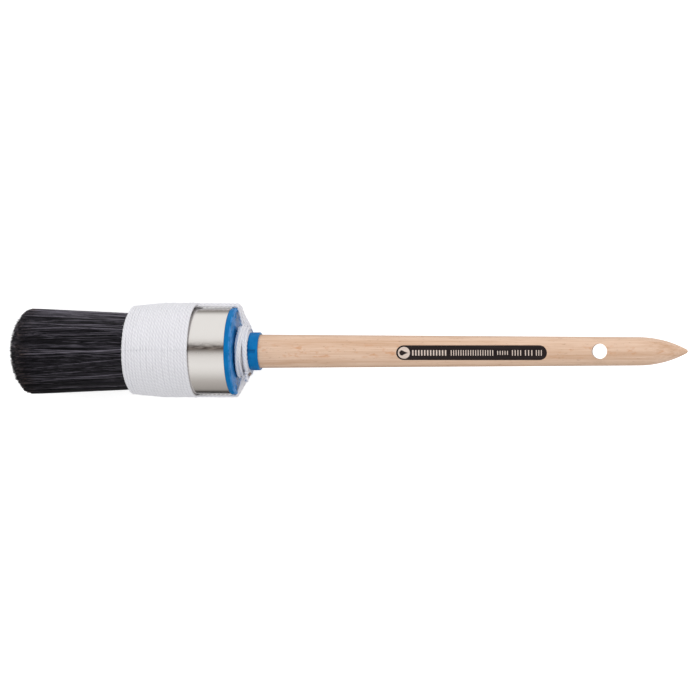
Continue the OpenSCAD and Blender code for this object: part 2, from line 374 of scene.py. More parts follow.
def lathe(
    name: str,
    axis: Axis,
    profile: list,
    angles: np.ndarray,
    carve: Callable[[float, float, np.ndarray], np.ndarray] = keep_radius,
    crease: float = 0.5,
) -> bpy.types.Object:
    """Turns an outline round the axis.

    Args:
        name: Name of the object.
        axis: The brush's axis.
        profile: Points of (station, radius), closed by its ends on the axis or by itself.
        angles: Angles of the outline's copies, rising through one turn.
        carve: Function from station, radius and angles to the radii that are wanted there.
        crease: Corners that turn by more than this angle stay sharp.

    Returns:
        The object.
    """
    segments = len(angles)
    stations = np.array([p[0] for p in profile])
    radii = np.array([p[1] for p in profile])
    on_axis = radii < 1e-9
    closed = not (on_axis[0] and on_axis[-1])
    body = [i for i in range(len(profile)) if not on_axis[i]]
    verts = [axis.place(stations[i], carve(stations[i], radii[i], angles), angles) for i in body]
    rows = {i: n * segments for n, i in enumerate(body)}
    verts = np.concatenate(verts)
    poles = {}
    for i in range(len(profile)):
        if on_axis[i]:
            poles[i] = len(verts)
            verts = np.concatenate([verts, axis.place(stations[i], 0.0, 0.0)[None]])
    around = np.arange(segments)
    after = (around + 1) % segments
    quads, tris = [], []
    pairs = [(i, i + 1) for i in range(len(profile) - 1)]
    if closed:
        pairs.append((len(profile) - 1, 0))
    for a, b in pairs:
        if a in rows and b in rows:
            ring = [rows[a] + around, rows[a] + after, rows[b] + after, rows[b] + around]
            quads.append(np.stack(ring, axis=-1))
        elif b in rows:
            tris.append(np.stack([np.full(segments, poles[a]), rows[b] + after, rows[b] + around], axis=-1))
        elif a in rows:
            tris.append(np.stack([rows[a] + around, rows[a] + after, np.full(segments, poles[b])], axis=-1))
    groups = [np.concatenate(g) for g in (quads, tris) if g]
    obj = make_object(name, verts, groups, {}, {})
    sharpen(obj, crease)
    return obj


def sharpen(obj: bpy.types.Object, angle: float) -> None:
    """Marks an object's edges sharp where its faces turn by more than an angle, in radians."""
    obj.data.set_sharp_from_angle(angle=angle)


def even_angles(count: int) -> np.ndarray:
    """Angles at even steps through one turn."""
    return TURN * np.arange(count) / count


def ease_corners(corners: list, steps: int = 5) -> list:
    """Rounds the corners of an outline.

    Args:
        corners: Each corner's station, radius and rounding.
        steps: Straight steps in each rounding.

    Returns:
        Points of (station, radius).
    """
    points = []
    for i, (station, radius, ease) in enumerate(corners):
        here = np.array([station, radius])
        if ease <= 0 or i in (0, len(corners) - 1):
            points.append((station, radius))
            continue
        to_last = np.array(corners[i - 1][:2]) - here
        to_next = np.array(corners[i + 1][:2]) - here
        a, b = to_last / np.linalg.norm(to_last), to_next / np.linalg.norm(to_next)
        half = math.acos(max(-1, min(1, float(a @ b)))) / 2
        reach = ease / math.tan(half)
        start, end = here + a * reach, here + b * reach
        middle = here + unit(a + b) * (ease / math.sin(half))
        first, last = start - middle, end - middle
        total = math.pi - 2 * half
        for k in range(steps + 1):
            t = total * k / steps
            swing = (first * math.sin(total - t) + last * math.sin(t)) / math.sin(total)
            points.append(tuple(float(c) for c in middle + swing))
    return points


def smooth_route(points: np.ndarray, per_span: int = 8) -> np.ndarray:
    """A smooth curve through points.

    Args:
        points: Points, N by 3.
        per_span: Steps between neighbouring points.

    Returns:
        The finer points.
    """
    padded = np.concatenate([2 * points[:1] - points[1:2], points, 2 * points[-1:] - points[-2:-1]])
    out = []
    for i in range(len(points) - 1):
        a, b, c, d = padded[i : i + 4]
        square, cube = 2 * a - 5 * b + 4 * c - d, 3 * b - a - 3 * c + d
        for j in range(per_span):
            t = j / per_span
            out.append(0.5 * (2 * b + (c - a) * t + square * t**2 + cube * t**3))
    out.append(points[-1])
    return np.array(out)


# ---- Shader helpers ----------------------------------------------------------------


class Graph:
    """Short forms for adding and joining shader nodes.

    Args:
        tree: The node tree to build in.
    """

    def __init__(self, tree: bpy.types.NodeTree) -> None:
        """Keeps the tree and clears it."""
        self.tree = tree
        tree.nodes.clear()

    def add(self, kind: str, **settings: object) -> bpy.types.Node:
        """Adds a node.

        Args:
            kind: Type name of the node, without its ShaderNode prefix.
            settings: Properties of the node.

        Returns:
            The node.
        """
        prefix = "" if kind.startswith("Node") else "ShaderNode"
        node = self.tree.nodes.new(prefix + kind)
        for key, value in settings.items():
            setattr(node, key, value)
        return node

    def feed(self, socket: bpy.types.NodeSocket, source: Source) -> None:
        """Joins a source to a socket, or sets the socket where the source is a plain value.

        Args:
            socket: The input socket.
            source: An output socket or a plain value.
        """
        if isinstance(source, bpy.types.NodeSocket):
            self.tree.links.new(source, socket)
        else:
            socket.default_value = source

    def math(self, operation: str, a: Source, b: Source = 0.0, clamp: bool = False) -> bpy.types.NodeSocket:
        """A Math node's output.

        Args:
            operation: Name of the operation.
            a: First value or socket.
            b: Second value or socket.
            clamp: True to keep the result between 0 and 1.

        Returns:
            The output socket.
        """
        node = self.add("Math", operation=operation, use_clamp=clamp)
        self.feed(node.inputs[0], a)
        self.feed(node.inputs[1], b)
        return node.outputs[0]

    def line(self, level: Source, value: Source, share: Source) -> bpy.types.NodeSocket:
        """A level plus a share of a value."""
        return self.math("ADD", level, self.math("MULTIPLY", value, share))

    def rise(self, value: Source, start: float, gain: float) -> bpy.types.NodeSocket:
        """0 up to a start, and from there rising at a gain to 1."""
        return self.math("MULTIPLY", self.math("SUBTRACT", value, start), gain, clamp=True)

    def attribute(self, name: str) -> bpy.types.NodeSocket:
        """The value of one of the mesh's attributes."""
        return self.add("Attribute", attribute_name=name).outputs["Fac"]

    def coords(self) -> bpy.types.NodeSocket:
        """Coordinates in the frame that all the pieces share."""
        return self.add("TexCoord").outputs["Object"]

    def parts(self, vector: Source) -> list:
        """The X, Y and Z sockets of a vector.

        Args:
            vector: Socket of the vector.

        Returns:
            The three sockets.
        """
        split = self.add("SeparateXYZ")
        self.feed(split.inputs[0], vector)
        return list(split.outputs)

    def stretch(self, vector: Source, scales: Source) -> bpy.types.NodeSocket:
        """Coordinates scaled by a number of their own in each direction.

        Args:
            vector: Socket of the coordinates.
            scales: Three numbers, or a socket.

        Returns:
            The vector socket.
        """
        node = self.add("VectorMath", operation="MULTIPLY")
        self.feed(node.inputs[0], vector)
        self.feed(node.inputs[1], scales)
        return node.outputs[0]

    def mix(self, factor: Source, a: Source, b: Source) -> bpy.types.NodeSocket:
        """A colour Mix node's output.

        Args:
            factor: Share of b.
            a: First colour or socket.
            b: Second colour or socket.

        Returns:
            The output socket.
        """
        node = self.add("Mix", data_type="RGBA")
        self.feed(node.inputs["Factor"], factor)
        self.feed(node.inputs[6], a)
        self.feed(node.inputs[7], b)
        return node.outputs[2]

    def ramp(self, value: Source, stops: list) -> bpy.types.NodeSocket:
        """A colour ramp's output.

        Args:
            value: Value or socket that runs through the ramp.
            stops: Pairs of place and colour.

        Returns:
            The colour socket.
        """
        node = self.add("ValToRGB")
        elements = node.color_ramp.elements
        elements[0].position, elements[0].color = stops[0]
        elements[1].position, elements[1].color = stops[-1]
        for place, colour in stops[1:-1]:
            elements.new(place).color = colour
        self.feed(node.inputs[0], value)
        return node.outputs[0]

    def noise(
        self, vector: Source, scale: float, detail: float, roughness: float = 0.55
    ) -> bpy.types.NodeSocket:
        """A noise texture's value.

        Args:
            vector: Socket of the coordinates.
            scale: Scale of the noise.
            detail: Number of finer layers.
            roughness: Share of the finer layers.

        Returns:
            The value socket.
        """
        node = self.add("TexNoise")
        self.feed(node.inputs["Vector"], vector)
        node.inputs["Scale"].default_value = scale
        node.inputs["Detail"].default_value = detail
        node.inputs["Roughness"].default_value = roughness
        return node.outputs[0]

    def group(self, tree: bpy.types.NodeTree, **values: Source) -> bpy.types.Node:
        """Places a node group and feeds its named inputs.

        Args:
            tree: The group's tree.
            values: Input name, with underscores for spaces, to value or socket.

        Returns:
            The group node.
        """
        node = self.add("Group", node_tree=tree)
        for key, value in values.items():
            self.feed(node.inputs[key.replace("_", " ")], value)
        return node


def grey(value: float) -> tuple:
    """An even grey with full alpha."""
    return (value, value, value, 1.0)


def new_group(name: str, inputs: dict, outputs: dict) -> tuple:
    """Starts a shader node group with named sockets.

    Args:
        name: Name of the group.
        inputs: Socket name to (socket type, default value).
        outputs: Socket name to socket type.

    Returns:
        The tree, its graph, its input node and its output node.
    """
    tree = bpy.data.node_groups.new(name, "ShaderNodeTree")
    for key, (kind, default) in inputs.items():
        socket = tree.interface.new_socket(key, in_out="INPUT", socket_type=kind)
        if default is not None:
            socket.default_value = default
    for key, kind in outputs.items():
        tree.interface.new_socket(key, in_out="OUTPUT", socket_type=kind)
    graph = Graph(tree)
    return tree, graph, graph.add("NodeGroupInput"), graph.add("NodeGroupOutput")


def build_streaks() -> bpy.types.NodeTree:
    """Group of streaks that run along the brush: noise stretched in X.

    Returns:
        The tree, with inputs Vector, Across and Along and outputs Streaks and Fine.
    """
    tree, g, given, out = new_group(
        "Lengthwise Streaks",
        {
            "Vector": ("NodeSocketVector", None),
            "Across": ("NodeSocketFloat", 900.0),
            "Along": ("NodeSocketFloat", 40.0),
        },
        {"Streaks": "NodeSocketFloat", "Fine": "NodeSocketFloat"},
    )
    scale = g.add("CombineXYZ")
    g.feed(scale.inputs[0], given.outputs["Along"])
    g.feed(scale.inputs[1], given.outputs["Across"])
    g.feed(scale.inputs[2], given.outputs["Across"])
    stretched = g.stretch(given.outputs["Vector"], scale.outputs[0])
    g.feed(out.inputs["Streaks"], g.noise(stretched, 1.0, 4.0, 0.6))
    g.feed(out.inputs["Fine"], g.noise(stretched, 4.1, 3.0, 0.6))
    return tree


def build_speckle() -> bpy.types.NodeTree:
    """Group of handling marks: soft blotches and fine grain.

    Returns:
        The tree, with inputs Vector and Size and outputs Blotches and Grain.
    """
    tree, g, given, out = new_group(
        "Handling Speckle",
        {"Vector": ("NodeSocketVector", None), "Size": ("NodeSocketFloat", 200.0)},
        {"Blotches": "NodeSocketFloat", "Grain": "NodeSocketFloat"},
    )
    scaled = g.add("VectorMath", operation="SCALE")
    g.feed(scaled.inputs[0], given.outputs["Vector"])
    g.feed(scaled.inputs["Scale"], given.outputs["Size"])
    g.feed(out.inputs["Blotches"], g.noise(scaled.outputs[0], 1.0, 3.0, 0.5))
    g.feed(out.inputs["Grain"], g.noise(scaled.outputs[0], 9.0, 2.0, 0.5))
    return tree


class Effects:
    """The shader groups that more than one finish uses."""

    def __init__(self) -> None:
        """Builds each group once."""
        self.streaks = build_streaks()
        self.speckle = build_speckle()


def new_material(name: str) -> tuple:
    """Starts a material with a Principled shader.

    Args:
        name: Name of the material.

    Returns:
        The material, its graph and its Principled node.
    """
    material = bpy.data.materials.new(name)
    material.use_nodes = True
    graph = Graph(material.node_tree)
    shader = graph.add("BsdfPrincipled")
    out = graph.add("OutputMaterial")
    graph.feed(out.inputs["Surface"], shader.outputs[0])
    return material, graph, shader


def add_bump(g: Graph, shader: bpy.types.Node, height: bpy.types.NodeSocket, distance: float) -> None:
    """Feeds a bump to a shader.

    Args:
        g: The material's graph.
        shader: The Principled node.
        height: Socket of the height, 0 to 1.
        distance: Depth of the bump in metres.
    """
    bump = g.add("Bump")
    bump.inputs["Distance"].default_value = distance
    bump.inputs["Strength"].default_value = 1.0
    g.feed(bump.inputs["Height"], height)
    g.feed(shader.inputs["Normal"], bump.outputs[0])


# ---- Finishes ------------------------------------------------------------------------


@dataclass(frozen=True)
class BristleFinish:
    """Dyed hair and filament: near black with grey hairs and brown at the tips, with painted light that makes
    the left side (+Y), towards the key lamp, paler.
    """

    dark: tuple = (0.002, 0.002, 0.003, 1.0)
    mid: tuple = (0.014, 0.012, 0.017, 1.0)
    light: tuple = (0.170, 0.157, 0.190, 1.0)
    brown: tuple = (0.26, 0.17, 0.115, 1.0)
    roughness: float = 0.30
    gloss: float = 0.16
    # Painted light: how much paler the left side (+Y) is painted, and the right side darker.
    painted_light_left: float = 0.20
    bundle_width: float = 36 * MM
    tip_start: float = 0.90
    tip_share: float = 0.55

    def make(self, effects: Effects) -> bpy.types.Material:
        """Builds the material.

        Args:
            effects: The shared shader groups.

        Returns:
            The material.
        """
        material, g, shader = new_material("black_mixed_hair")
        tone = g.attribute("tone")
        coords = g.coords()
        streaks = g.group(effects.streaks, Vector=coords, Across=2600.0, Along=125.0)
        fine = streaks.outputs["Fine"]
        shade = g.line(g.math("MULTIPLY", tone, 0.66), streaks.outputs["Streaks"], 0.60)
        # Painted light: the hairs are painted paler on the left side (+Y), towards the key lamp, and darker
        # on the right.
        side = g.math("DIVIDE", g.parts(coords)[1], self.bundle_width)
        shade = g.line(shade, side, self.painted_light_left)
        base = g.ramp(shade, [(0.45, self.dark), (0.68, self.mid), (0.95, self.light)])
        tip = g.rise(g.attribute("reach"), self.tip_start, 9.0)
        tip = g.math("MULTIPLY", tip, g.math("GREATER_THAN", g.math("MULTIPLY", tone, fine), 0.40))
        base = g.mix(g.math("MULTIPLY", tip, self.tip_share), base, self.brown)
        g.feed(shader.inputs["Base Color"], base)
        g.feed(shader.inputs["Roughness"], g.line(self.roughness, fine, 0.25))
        shader.inputs["Specular IOR Level"].default_value = self.gloss
        return material


@dataclass(frozen=True)
class CordFinish:
    """White twisted cord with fine fibres: bright crowns, and painted shade that greys the valleys between
    the plies.
    """

    crown: tuple = (0.855, 0.85, 0.885, 1.0)
    # Painted shade: colour of the valleys between the plies.
    painted_valley_shade: tuple = (0.735, 0.735, 0.78, 1.0)
    worn: tuple = (0.62, 0.60, 0.58, 1.0)
    end_brown: tuple = (0.17, 0.115, 0.085, 1.0)
    dark_end: bool = False
    dark_end_from: float = 0.58
    fibre_scales: tuple = (700.0, 26.0, 1.0)
    fibre_depth: float = 0.06 * MM
    sheen: float = 0.15

    def make(self, effects: Effects) -> bpy.types.Material:
        """Builds the material.

        Args:
            effects: The shared shader groups.

        Returns:
            The material.
        """
        material, g, shader = new_material("dark_cord_end" if self.dark_end else "white_twisted_cord")
        speckle = g.group(effects.speckle, Vector=g.coords(), Size=260.0)
        strand = g.add("UVMap", uv_map="Strand").outputs[0]
        fibre = g.noise(g.stretch(strand, self.fibre_scales), 1.0, 3.0, 0.6)
        # Painted shade: the low parts of the section, between the plies, are painted greyer than the crowns.
        crown = g.ramp(g.attribute("crown"), [(0.0, grey(0.0)), (0.75, grey(1.0))])
        base = g.mix(crown, self.painted_valley_shade, self.crown)
        wear = g.math("MULTIPLY", g.math("SUBTRACT", speckle.outputs["Blotches"], 0.5), 0.16)
        base = g.mix(g.math("ADD", 0.06, wear, clamp=True), base, self.worn)
        # The last stretch of the trimmed end is darkened to a dark brown.
        if self.dark_end:
            end_mask = g.rise(g.attribute("reach"), self.dark_end_from, 4.0)
            base = g.mix(g.math("MULTIPLY", end_mask, 0.9), base, self.end_brown)
        g.feed(shader.inputs["Base Color"], base)
        g.feed(shader.inputs["Roughness"], g.line(0.78, fibre, 0.2))
        shader.inputs["Sheen Weight"].default_value = self.sheen
        add_bump(g, shader, fibre, self.fibre_depth)
        return material


@dataclass(frozen=True)
class NickelFinish:
    """Nickel-plated strip: fine drawn lines, and a mottled ground strip along the seam.

    Args:
        height: Z of the brush's axis.
    """

    height: float
    bright: tuple = (0.79, 0.76, 0.73, 1.0)
    soot: tuple = (0.075, 0.060, 0.052, 1.0)
    scuffed: tuple = (0.27, 0.235, 0.21, 1.0)
    dulled: float = 0.55
    seam_angle: float = math.radians(4.0)
    seam_reach: float = 1.8 * MM
    seam_ragged: float = 1.3 * MM
    line_scales: tuple = (2600.0, 160.0, 160.0)
    line_depth: float = 0.02 * MM

    def make(self, effects: Effects) -> bpy.types.Material:
        """Builds the material.

        Args:
            effects: The shared shader groups.

        Returns:
            The material.
        """
        material, g, shader = new_material("nickel_plated_strip")
        coords = g.coords()
        _, sideways, height = g.parts(coords)
        up = g.math("SUBTRACT", height, self.height)
        turned = g.math("MULTIPLY", sideways, math.cos(self.seam_angle))
        across = g.math("SUBTRACT", turned, g.math("MULTIPLY", up, math.sin(self.seam_angle)))
        marks = g.group(effects.streaks, Vector=coords, Across=1100.0, Along=330.0).outputs["Streaks"]
        ragged = g.math("MULTIPLY", g.math("SUBTRACT", marks, 0.5), self.seam_ragged)
        offset = g.math("DIVIDE", g.math("ADD", across, ragged), self.seam_reach)
        seam = g.math("POWER", 2.718, g.math("MULTIPLY", g.math("MULTIPLY", offset, offset), -1.0))
        seam = g.math("MULTIPLY", seam, g.math("GREATER_THAN", up, 0.0))
        lines = g.noise(g.stretch(coords, self.line_scales), 1.0, 2.0, 0.5)
        mottled = g.ramp(marks, [(0.36, self.soot), (0.68, self.scuffed)])
        base = g.mix(g.math("MULTIPLY", lines, 0.10), self.bright, grey(self.dulled))
        g.feed(shader.inputs["Base Color"], g.mix(seam, base, mottled))
        g.feed(shader.inputs["Roughness"], g.line(g.line(0.16, lines, 0.08), seam, 0.22))
        shader.inputs["Metallic"].default_value = 1.0
        add_bump(g, shader, g.math("MULTIPLY", lines, g.math("ADD", 0.2, seam)), self.line_depth)
        return material


@dataclass(frozen=True)
class BlueMouldFinish:
    """Glossy blue moulded plastic with a faint orange peel, and pale blue marks in the dished back that are a
    painted reflection of the white cord.

    Args:
        dish: X of the dish's floor.
        rim: X of the rim's back face.
    """

    dish: float
    rim: float
    # Painted reflection: the pale blue of the marks in the dish.
    painted_dish_reflection: tuple = (0.10, 0.33, 0.76, 1.0)
    blue: tuple = (0.0, 0.182, 0.48, 1.0)
    deep: tuple = (0.0, 0.100, 0.33, 1.0)
    gloss: float = 0.10
    painted_reflection_share: float = 0.52
    peel_depth: float = 0.01 * MM

    def make(self, effects: Effects) -> bpy.types.Material:
        """Builds the material.

        Args:
            effects: The shared shader groups.

        Returns:
            The material.
        """
        material, g, shader = new_material("blue_moulded_plastic")
        coords = g.coords()
        along = g.parts(coords)[0]
        speckle = g.group(effects.speckle, Vector=coords, Size=300.0)
        peel = speckle.outputs["Grain"]
        shade = g.ramp(speckle.outputs["Blotches"], [(0.3, self.deep), (0.7, self.blue)])
        base = g.mix(0.5, self.blue, shade)
        # Painted reflection: pale blue marks over the dish, between its floor and the rim's back face.
        edge, soft = 0.2 * MM, 0.15 * MM
        behind = g.math("DIVIDE", g.math("SUBTRACT", along, self.dish - edge), soft, clamp=True)
        before = g.math("DIVIDE", g.math("SUBTRACT", self.rim + edge, along), soft, clamp=True)
        marks = g.ramp(g.noise(coords, 330.0, 3.0, 0.6), [(0.40, grey(0.0)), (0.58, grey(1.0))])
        marks = g.math("MULTIPLY", marks, self.painted_reflection_share)
        painted_dish_reflection = g.math("MULTIPLY", g.math("MULTIPLY", behind, before), marks)
        g.feed(shader.inputs["Base Color"], g.mix(painted_dish_reflection, base, self.painted_dish_reflection))
        g.feed(shader.inputs["Roughness"], g.line(0.12, peel, 0.12))
        shader.inputs["Specular IOR Level"].default_value = self.gloss
        add_bump(g, shader, peel, self.peel_depth)
        return material


@dataclass(frozen=True)
class BeechFinish:
    """Clear-lacquered steamed beech: pinkish, with soft grain and short brown rays.

    Args:
        height: Z of the brush's axis, as the rays show most on the top and the underside.
    """

    height: float
    pale: tuple = (0.775, 0.540, 0.392, 1.0)
    warm: tuple = (0.55, 0.310, 0.170, 1.0)
    ray: tuple = (0.60, 0.27, 0.115, 1.0)
    fleck: tuple = (0.38, 0.19, 0.10, 1.0)
    coat: float = 0.45
    coat_roughness: float = 0.24
    pore_depth: float = 0.04 * MM

    def make(self, effects: Effects) -> bpy.types.Material:
        """Builds the material.

        Args:
            effects: The shared shader groups.

        Returns:
            The material.
        """
        material, g, shader = new_material("lacquered_beech")
        coords = g.coords()
        grain = g.group(effects.streaks, Vector=coords, Across=420.0, Along=9.0).outputs["Streaks"]
        pores = g.group(effects.streaks, Vector=coords, Across=2100.0, Along=75.0)
        rays = g.group(effects.streaks, Vector=coords, Across=1300.0, Along=430.0).outputs["Streaks"]
        patches = g.group(effects.streaks, Vector=coords, Across=520.0, Along=230.0).outputs["Streaks"]
        _, sideways, height = g.parts(coords)
        over = g.math("ABSOLUTE", g.math("SUBTRACT", height, self.height))
        beside = g.math("MULTIPLY", g.math("ABSOLUTE", sideways), 1.5)
        quarter = g.math("DIVIDE", g.math("SUBTRACT", over, beside), 4.0 * MM, clamp=True)
        base = g.ramp(grain, [(0.22, self.warm), (0.55, self.pale)])
        fine = g.math("MULTIPLY", g.math("SUBTRACT", pores.outputs["Streaks"], 0.5), 2.0)
        base = g.mix(g.math("ADD", 0.13, fine, clamp=True), base, self.warm)
        patch = g.math("MULTIPLY", g.rise(patches, 0.54, 7.0), quarter)
        base = g.mix(g.math("MULTIPLY", patch, 0.70), base, self.ray)
        ray = g.rise(rays, 0.615, 12.0)
        base = g.mix(g.math("MULTIPLY", ray, 0.5), base, self.fleck)
        g.feed(shader.inputs["Base Color"], base)
        g.feed(shader.inputs["Roughness"], g.line(0.36, pores.outputs["Fine"], 0.2))
        shader.inputs["Coat Weight"].default_value = self.coat
        shader.inputs["Coat Roughness"].default_value = self.coat_roughness
        relief = g.math("SUBTRACT", pores.outputs["Streaks"], g.math("MULTIPLY", ray, 0.4))
        add_bump(g, shader, relief, self.pore_depth)
        return material


class InkShade(Enum):
    """The two inks of the printed panel."""

    BLACK = ("black_ink", (0.012, 0.007, 0.007, 1.0), (0.026, 0.017, 0.016, 1.0), 0.34)
    PALE = ("pale_ink", (0.74, 0.62, 0.55, 1.0), (0.62, 0.50, 0.43, 1.0), 0.45)


@dataclass(frozen=True)
class InkFinish:
    """Pad-printed ink, slightly uneven where the wood's grain shows through.

    Args:
        shade: Which of the inks it is.
    """

    shade: InkShade
    gloss: float = 0.14

    def make(self, effects: Effects) -> bpy.types.Material:
        """Builds the material.

        Args:
            effects: The shared shader groups.

        Returns:
            The material.
        """
        name, full, thin, roughness = self.shade.value
        material, g, shader = new_material(name)
        streaks = g.group(effects.streaks, Vector=g.coords(), Across=1800.0, Along=90.0)
        g.feed(shader.inputs["Base Color"], g.ramp(streaks.outputs["Streaks"], [(0.4, full), (0.75, thin)]))
        g.feed(shader.inputs["Roughness"], g.line(roughness - 0.08, streaks.outputs["Fine"], 0.2))
        shader.inputs["Specular IOR Level"].default_value = self.gloss
        return material


class InnerStuff(Enum):
    """Materials of the pieces that are closed inside the head."""

    RESIN = ("amber_resin", (0.42, 0.24, 0.06, 1.0), (0.58, 0.38, 0.13, 1.0), 0.25)
    PLUG = ("plug_wood", (0.45, 0.29, 0.16, 1.0), (0.64, 0.46, 0.29, 1.0), 0.6)


@dataclass(frozen=True)
class InnerFinish:
    """A plain mottled finish for a hidden piece.

    Args:
        stuff: What the piece is made of.
    """

    stuff: InnerStuff

    def make(self, effects: Effects) -> bpy.types.Material:
        """Builds the material.

        Args:
            effects: The shared shader groups.

        Returns:
            The material.
        """
        name, dark, light, roughness = self.stuff.value
        material, g, shader = new_material(name)
        speckle = g.group(effects.speckle, Vector=g.coords(), Size=350.0)
        mottled = g.ramp(speckle.outputs["Blotches"], [(0.35, dark), (0.65, light)])
        g.feed(shader.inputs["Base Color"], mottled)
        g.feed(shader.inputs["Roughness"], g.line(roughness, speckle.outputs["Grain"], 0.15))
        return material


def dress(obj: bpy.types.Object, material: bpy.types.Material) -> None:
    """Gives an object one material.

    Args:
        obj: The object.
        material: The material.
    """
    obj.data.materials.clear()
    obj.data.materials.append(material)


# ---- Bristles -------------------------------------------------------------------------


HAIR_ATLAS = Atlas(96)


@dataclass
class BristleBundle:
    """The hair: locks of full-length hairs, a field of tips and a dark core below them.

    Args:
        axis: The brush's axis.
        full_radius: Radius at the shoulder of the rounded tip.
        root_station: Where the hairs start, under the binding.
        lock_lean: Sideways lean of the locks, for each unit of free length.
        lock_depth: How deep the deepest lock lies, as a share of the radius.
        lock_bends: Shortest and longest bend of a lock, in millimetres.
        tip_lengths: Shortest and longest stretch of an inner hair that is drawn, in millimetres.
    """

    axis: Axis
    full_radius: float
    root_station: float
    dome_height: float = 9.2 * MM
    binding_station: float = 50.0 * MM
    binding_radius: float = 15.75 * MM
    hair_radius: float = 0.135 * MM
    tip_radius: float = 0.035 * MM
    lock_count: int = 930
    hairs_per_lock: int = 5
    lock_width: float = 0.15 * MM
    lock_lean: float = 0.050
    lock_depth: float = 0.085
    lock_bend: float = 0.5 * MM
    lock_bends: tuple = (14, 34)
    hair_lean: float = 0.012
    hair_sway: float = 0.05 * MM
    sway_length: float = 3.5 * MM
    uneven_ends: float = 0.30 * MM
    flyaway: float = 0.07 * MM
    skin_pieces: int = 3
    tip_count: int = 7400
    tip_uneven: float = 0.45 * MM
    tip_lengths: tuple = (7, 10)
    tip_gather: float = 0.35 * MM
    tip_stray: float = 0.30 * MM
    core_sink: float = 2.2 * MM
    core_steps: int = 14
    pieces: list = field(default_factory=list)

    def side_radius(self, station: np.ndarray) -> np.ndarray:
        """Outer radius of the splayed bundle, with no rounding at its tip."""
        share = (station - self.dome_height) / (self.binding_station - self.dome_height)
        return self.full_radius + (self.binding_radius - self.full_radius) * np.clip(share, 0, 1.2)

    def tip_station(self, share: np.ndarray) -> np.ndarray:
        """Station of the rounded tip at a share of the full radius."""
        return self.dome_height * (1 - np.sqrt(np.clip(1 - share**2, 0, 1)))

    def taper(self, count: int, rings: int, sides: int, rng: np.random.Generator) -> np.ndarray:
        """Radii of hairs: even for most of the length, thin at the split tip.

        Args:
            count: Number of hairs.
            rings: Rings of each hair.
            sides: Sides of each ring.
            rng: Source of the hairs' different thicknesses.

        Returns:
            The radii, hairs by rings by sides.
        """
        t = np.linspace(0, 1, rings)
        shape = self.tip_radius + (self.hair_radius - self.tip_radius) * (1 - t**5)
        thickness = rng.uniform(0.75, 1.3, count)
        return (shape[None] * thickness[:, None])[..., None] * np.ones(sides)

    def lock_routes(self, locks: int, rings: int, rng: np.random.Generator) -> tuple:
        """Routes of the hairs of some locks.

        Each lock leans its own way and lies at its own depth, so that locks cross
        over each other. Its hairs draw together towards their tips.

        Args:
            locks: Number of locks.
            rings: Points on each hair.
            rng: Source of the locks' and hairs' differences.

        Returns:
            The points, hairs by rings by 3, and one random shade for each hair's lock.
        """
        count = locks * self.hairs_per_lock
        lock = np.repeat(np.arange(locks), self.hairs_per_lock)
        angle = (np.arange(locks) + rng.uniform(-0.9, 0.9, locks)) / locks * TURN
        depth = rng.uniform(0, 1, locks) ** 0.8
        lean = rng.normal(0, self.lock_lean, locks)
        bend = rng.normal(0, self.lock_bend, locks)[lock][:, None]
        bend_length = (rng.uniform(*self.lock_bends, locks) * MM)[lock][:, None]
        shade = rng.uniform(0, 1, locks)
        t = np.linspace(0, 1, rings)[None]
        share = 1 - self.lock_depth * depth[lock] - 0.012 * rng.uniform(0, 1, count)
        end = self.tip_station(share) + rng.normal(0, self.uneven_ends, count)
        station = self.root_station + (end - self.root_station)[:, None] * t
        free = np.clip(self.binding_station - station, 0, None)
        drawn = 1 - 0.6 * (free / self.binding_station) ** 2
        sideways = rng.normal(0, self.lock_width, count)[:, None] * drawn
        sideways += (lean[lock] + rng.normal(0, self.hair_lean, count))[:, None] * free
        phase = rng.uniform(0, TURN, locks)[lock][:, None]
        sideways += bend * (np.sin(free / bend_length + phase) - np.sin(phase))
        lift = rng.normal(0, self.flyaway, count)[:, None] * (free / self.binding_station) ** 2
        radius = share[:, None] * self.side_radius(station) + lift
        wave = rng.uniform(0, TURN, count)[:, None]
        sideways += self.hair_sway * np.sin(free / self.sway_length + wave)
        around = angle[lock][:, None] + sideways / self.full_radius
        return self.axis.place(station, radius, around), shade[lock]

    def build_skin(self) -> None:
        """Locks of full-length hairs on the outside of the bundle, in a few pieces."""
        locks = self.lock_count // self.skin_pieces
        count = locks * self.hairs_per_lock
        rings, sides = 12, 4
        for number in range(self.skin_pieces):
            rng = np.random.default_rng(Seed.HAIR_LOCKS + number)
            paths, shade = self.lock_routes(locks, rings, rng)
            radii = self.taper(count, rings, sides, rng)
            tone = 0.42 * shade + 0.58 * rng.uniform(0, 1, count)
            name = f"bristle_skin_{number + 1}"
            self.pieces.append(sweep_tubes(name, paths, radii, np.zeros((count, rings)), HAIR_ATLAS, tone))

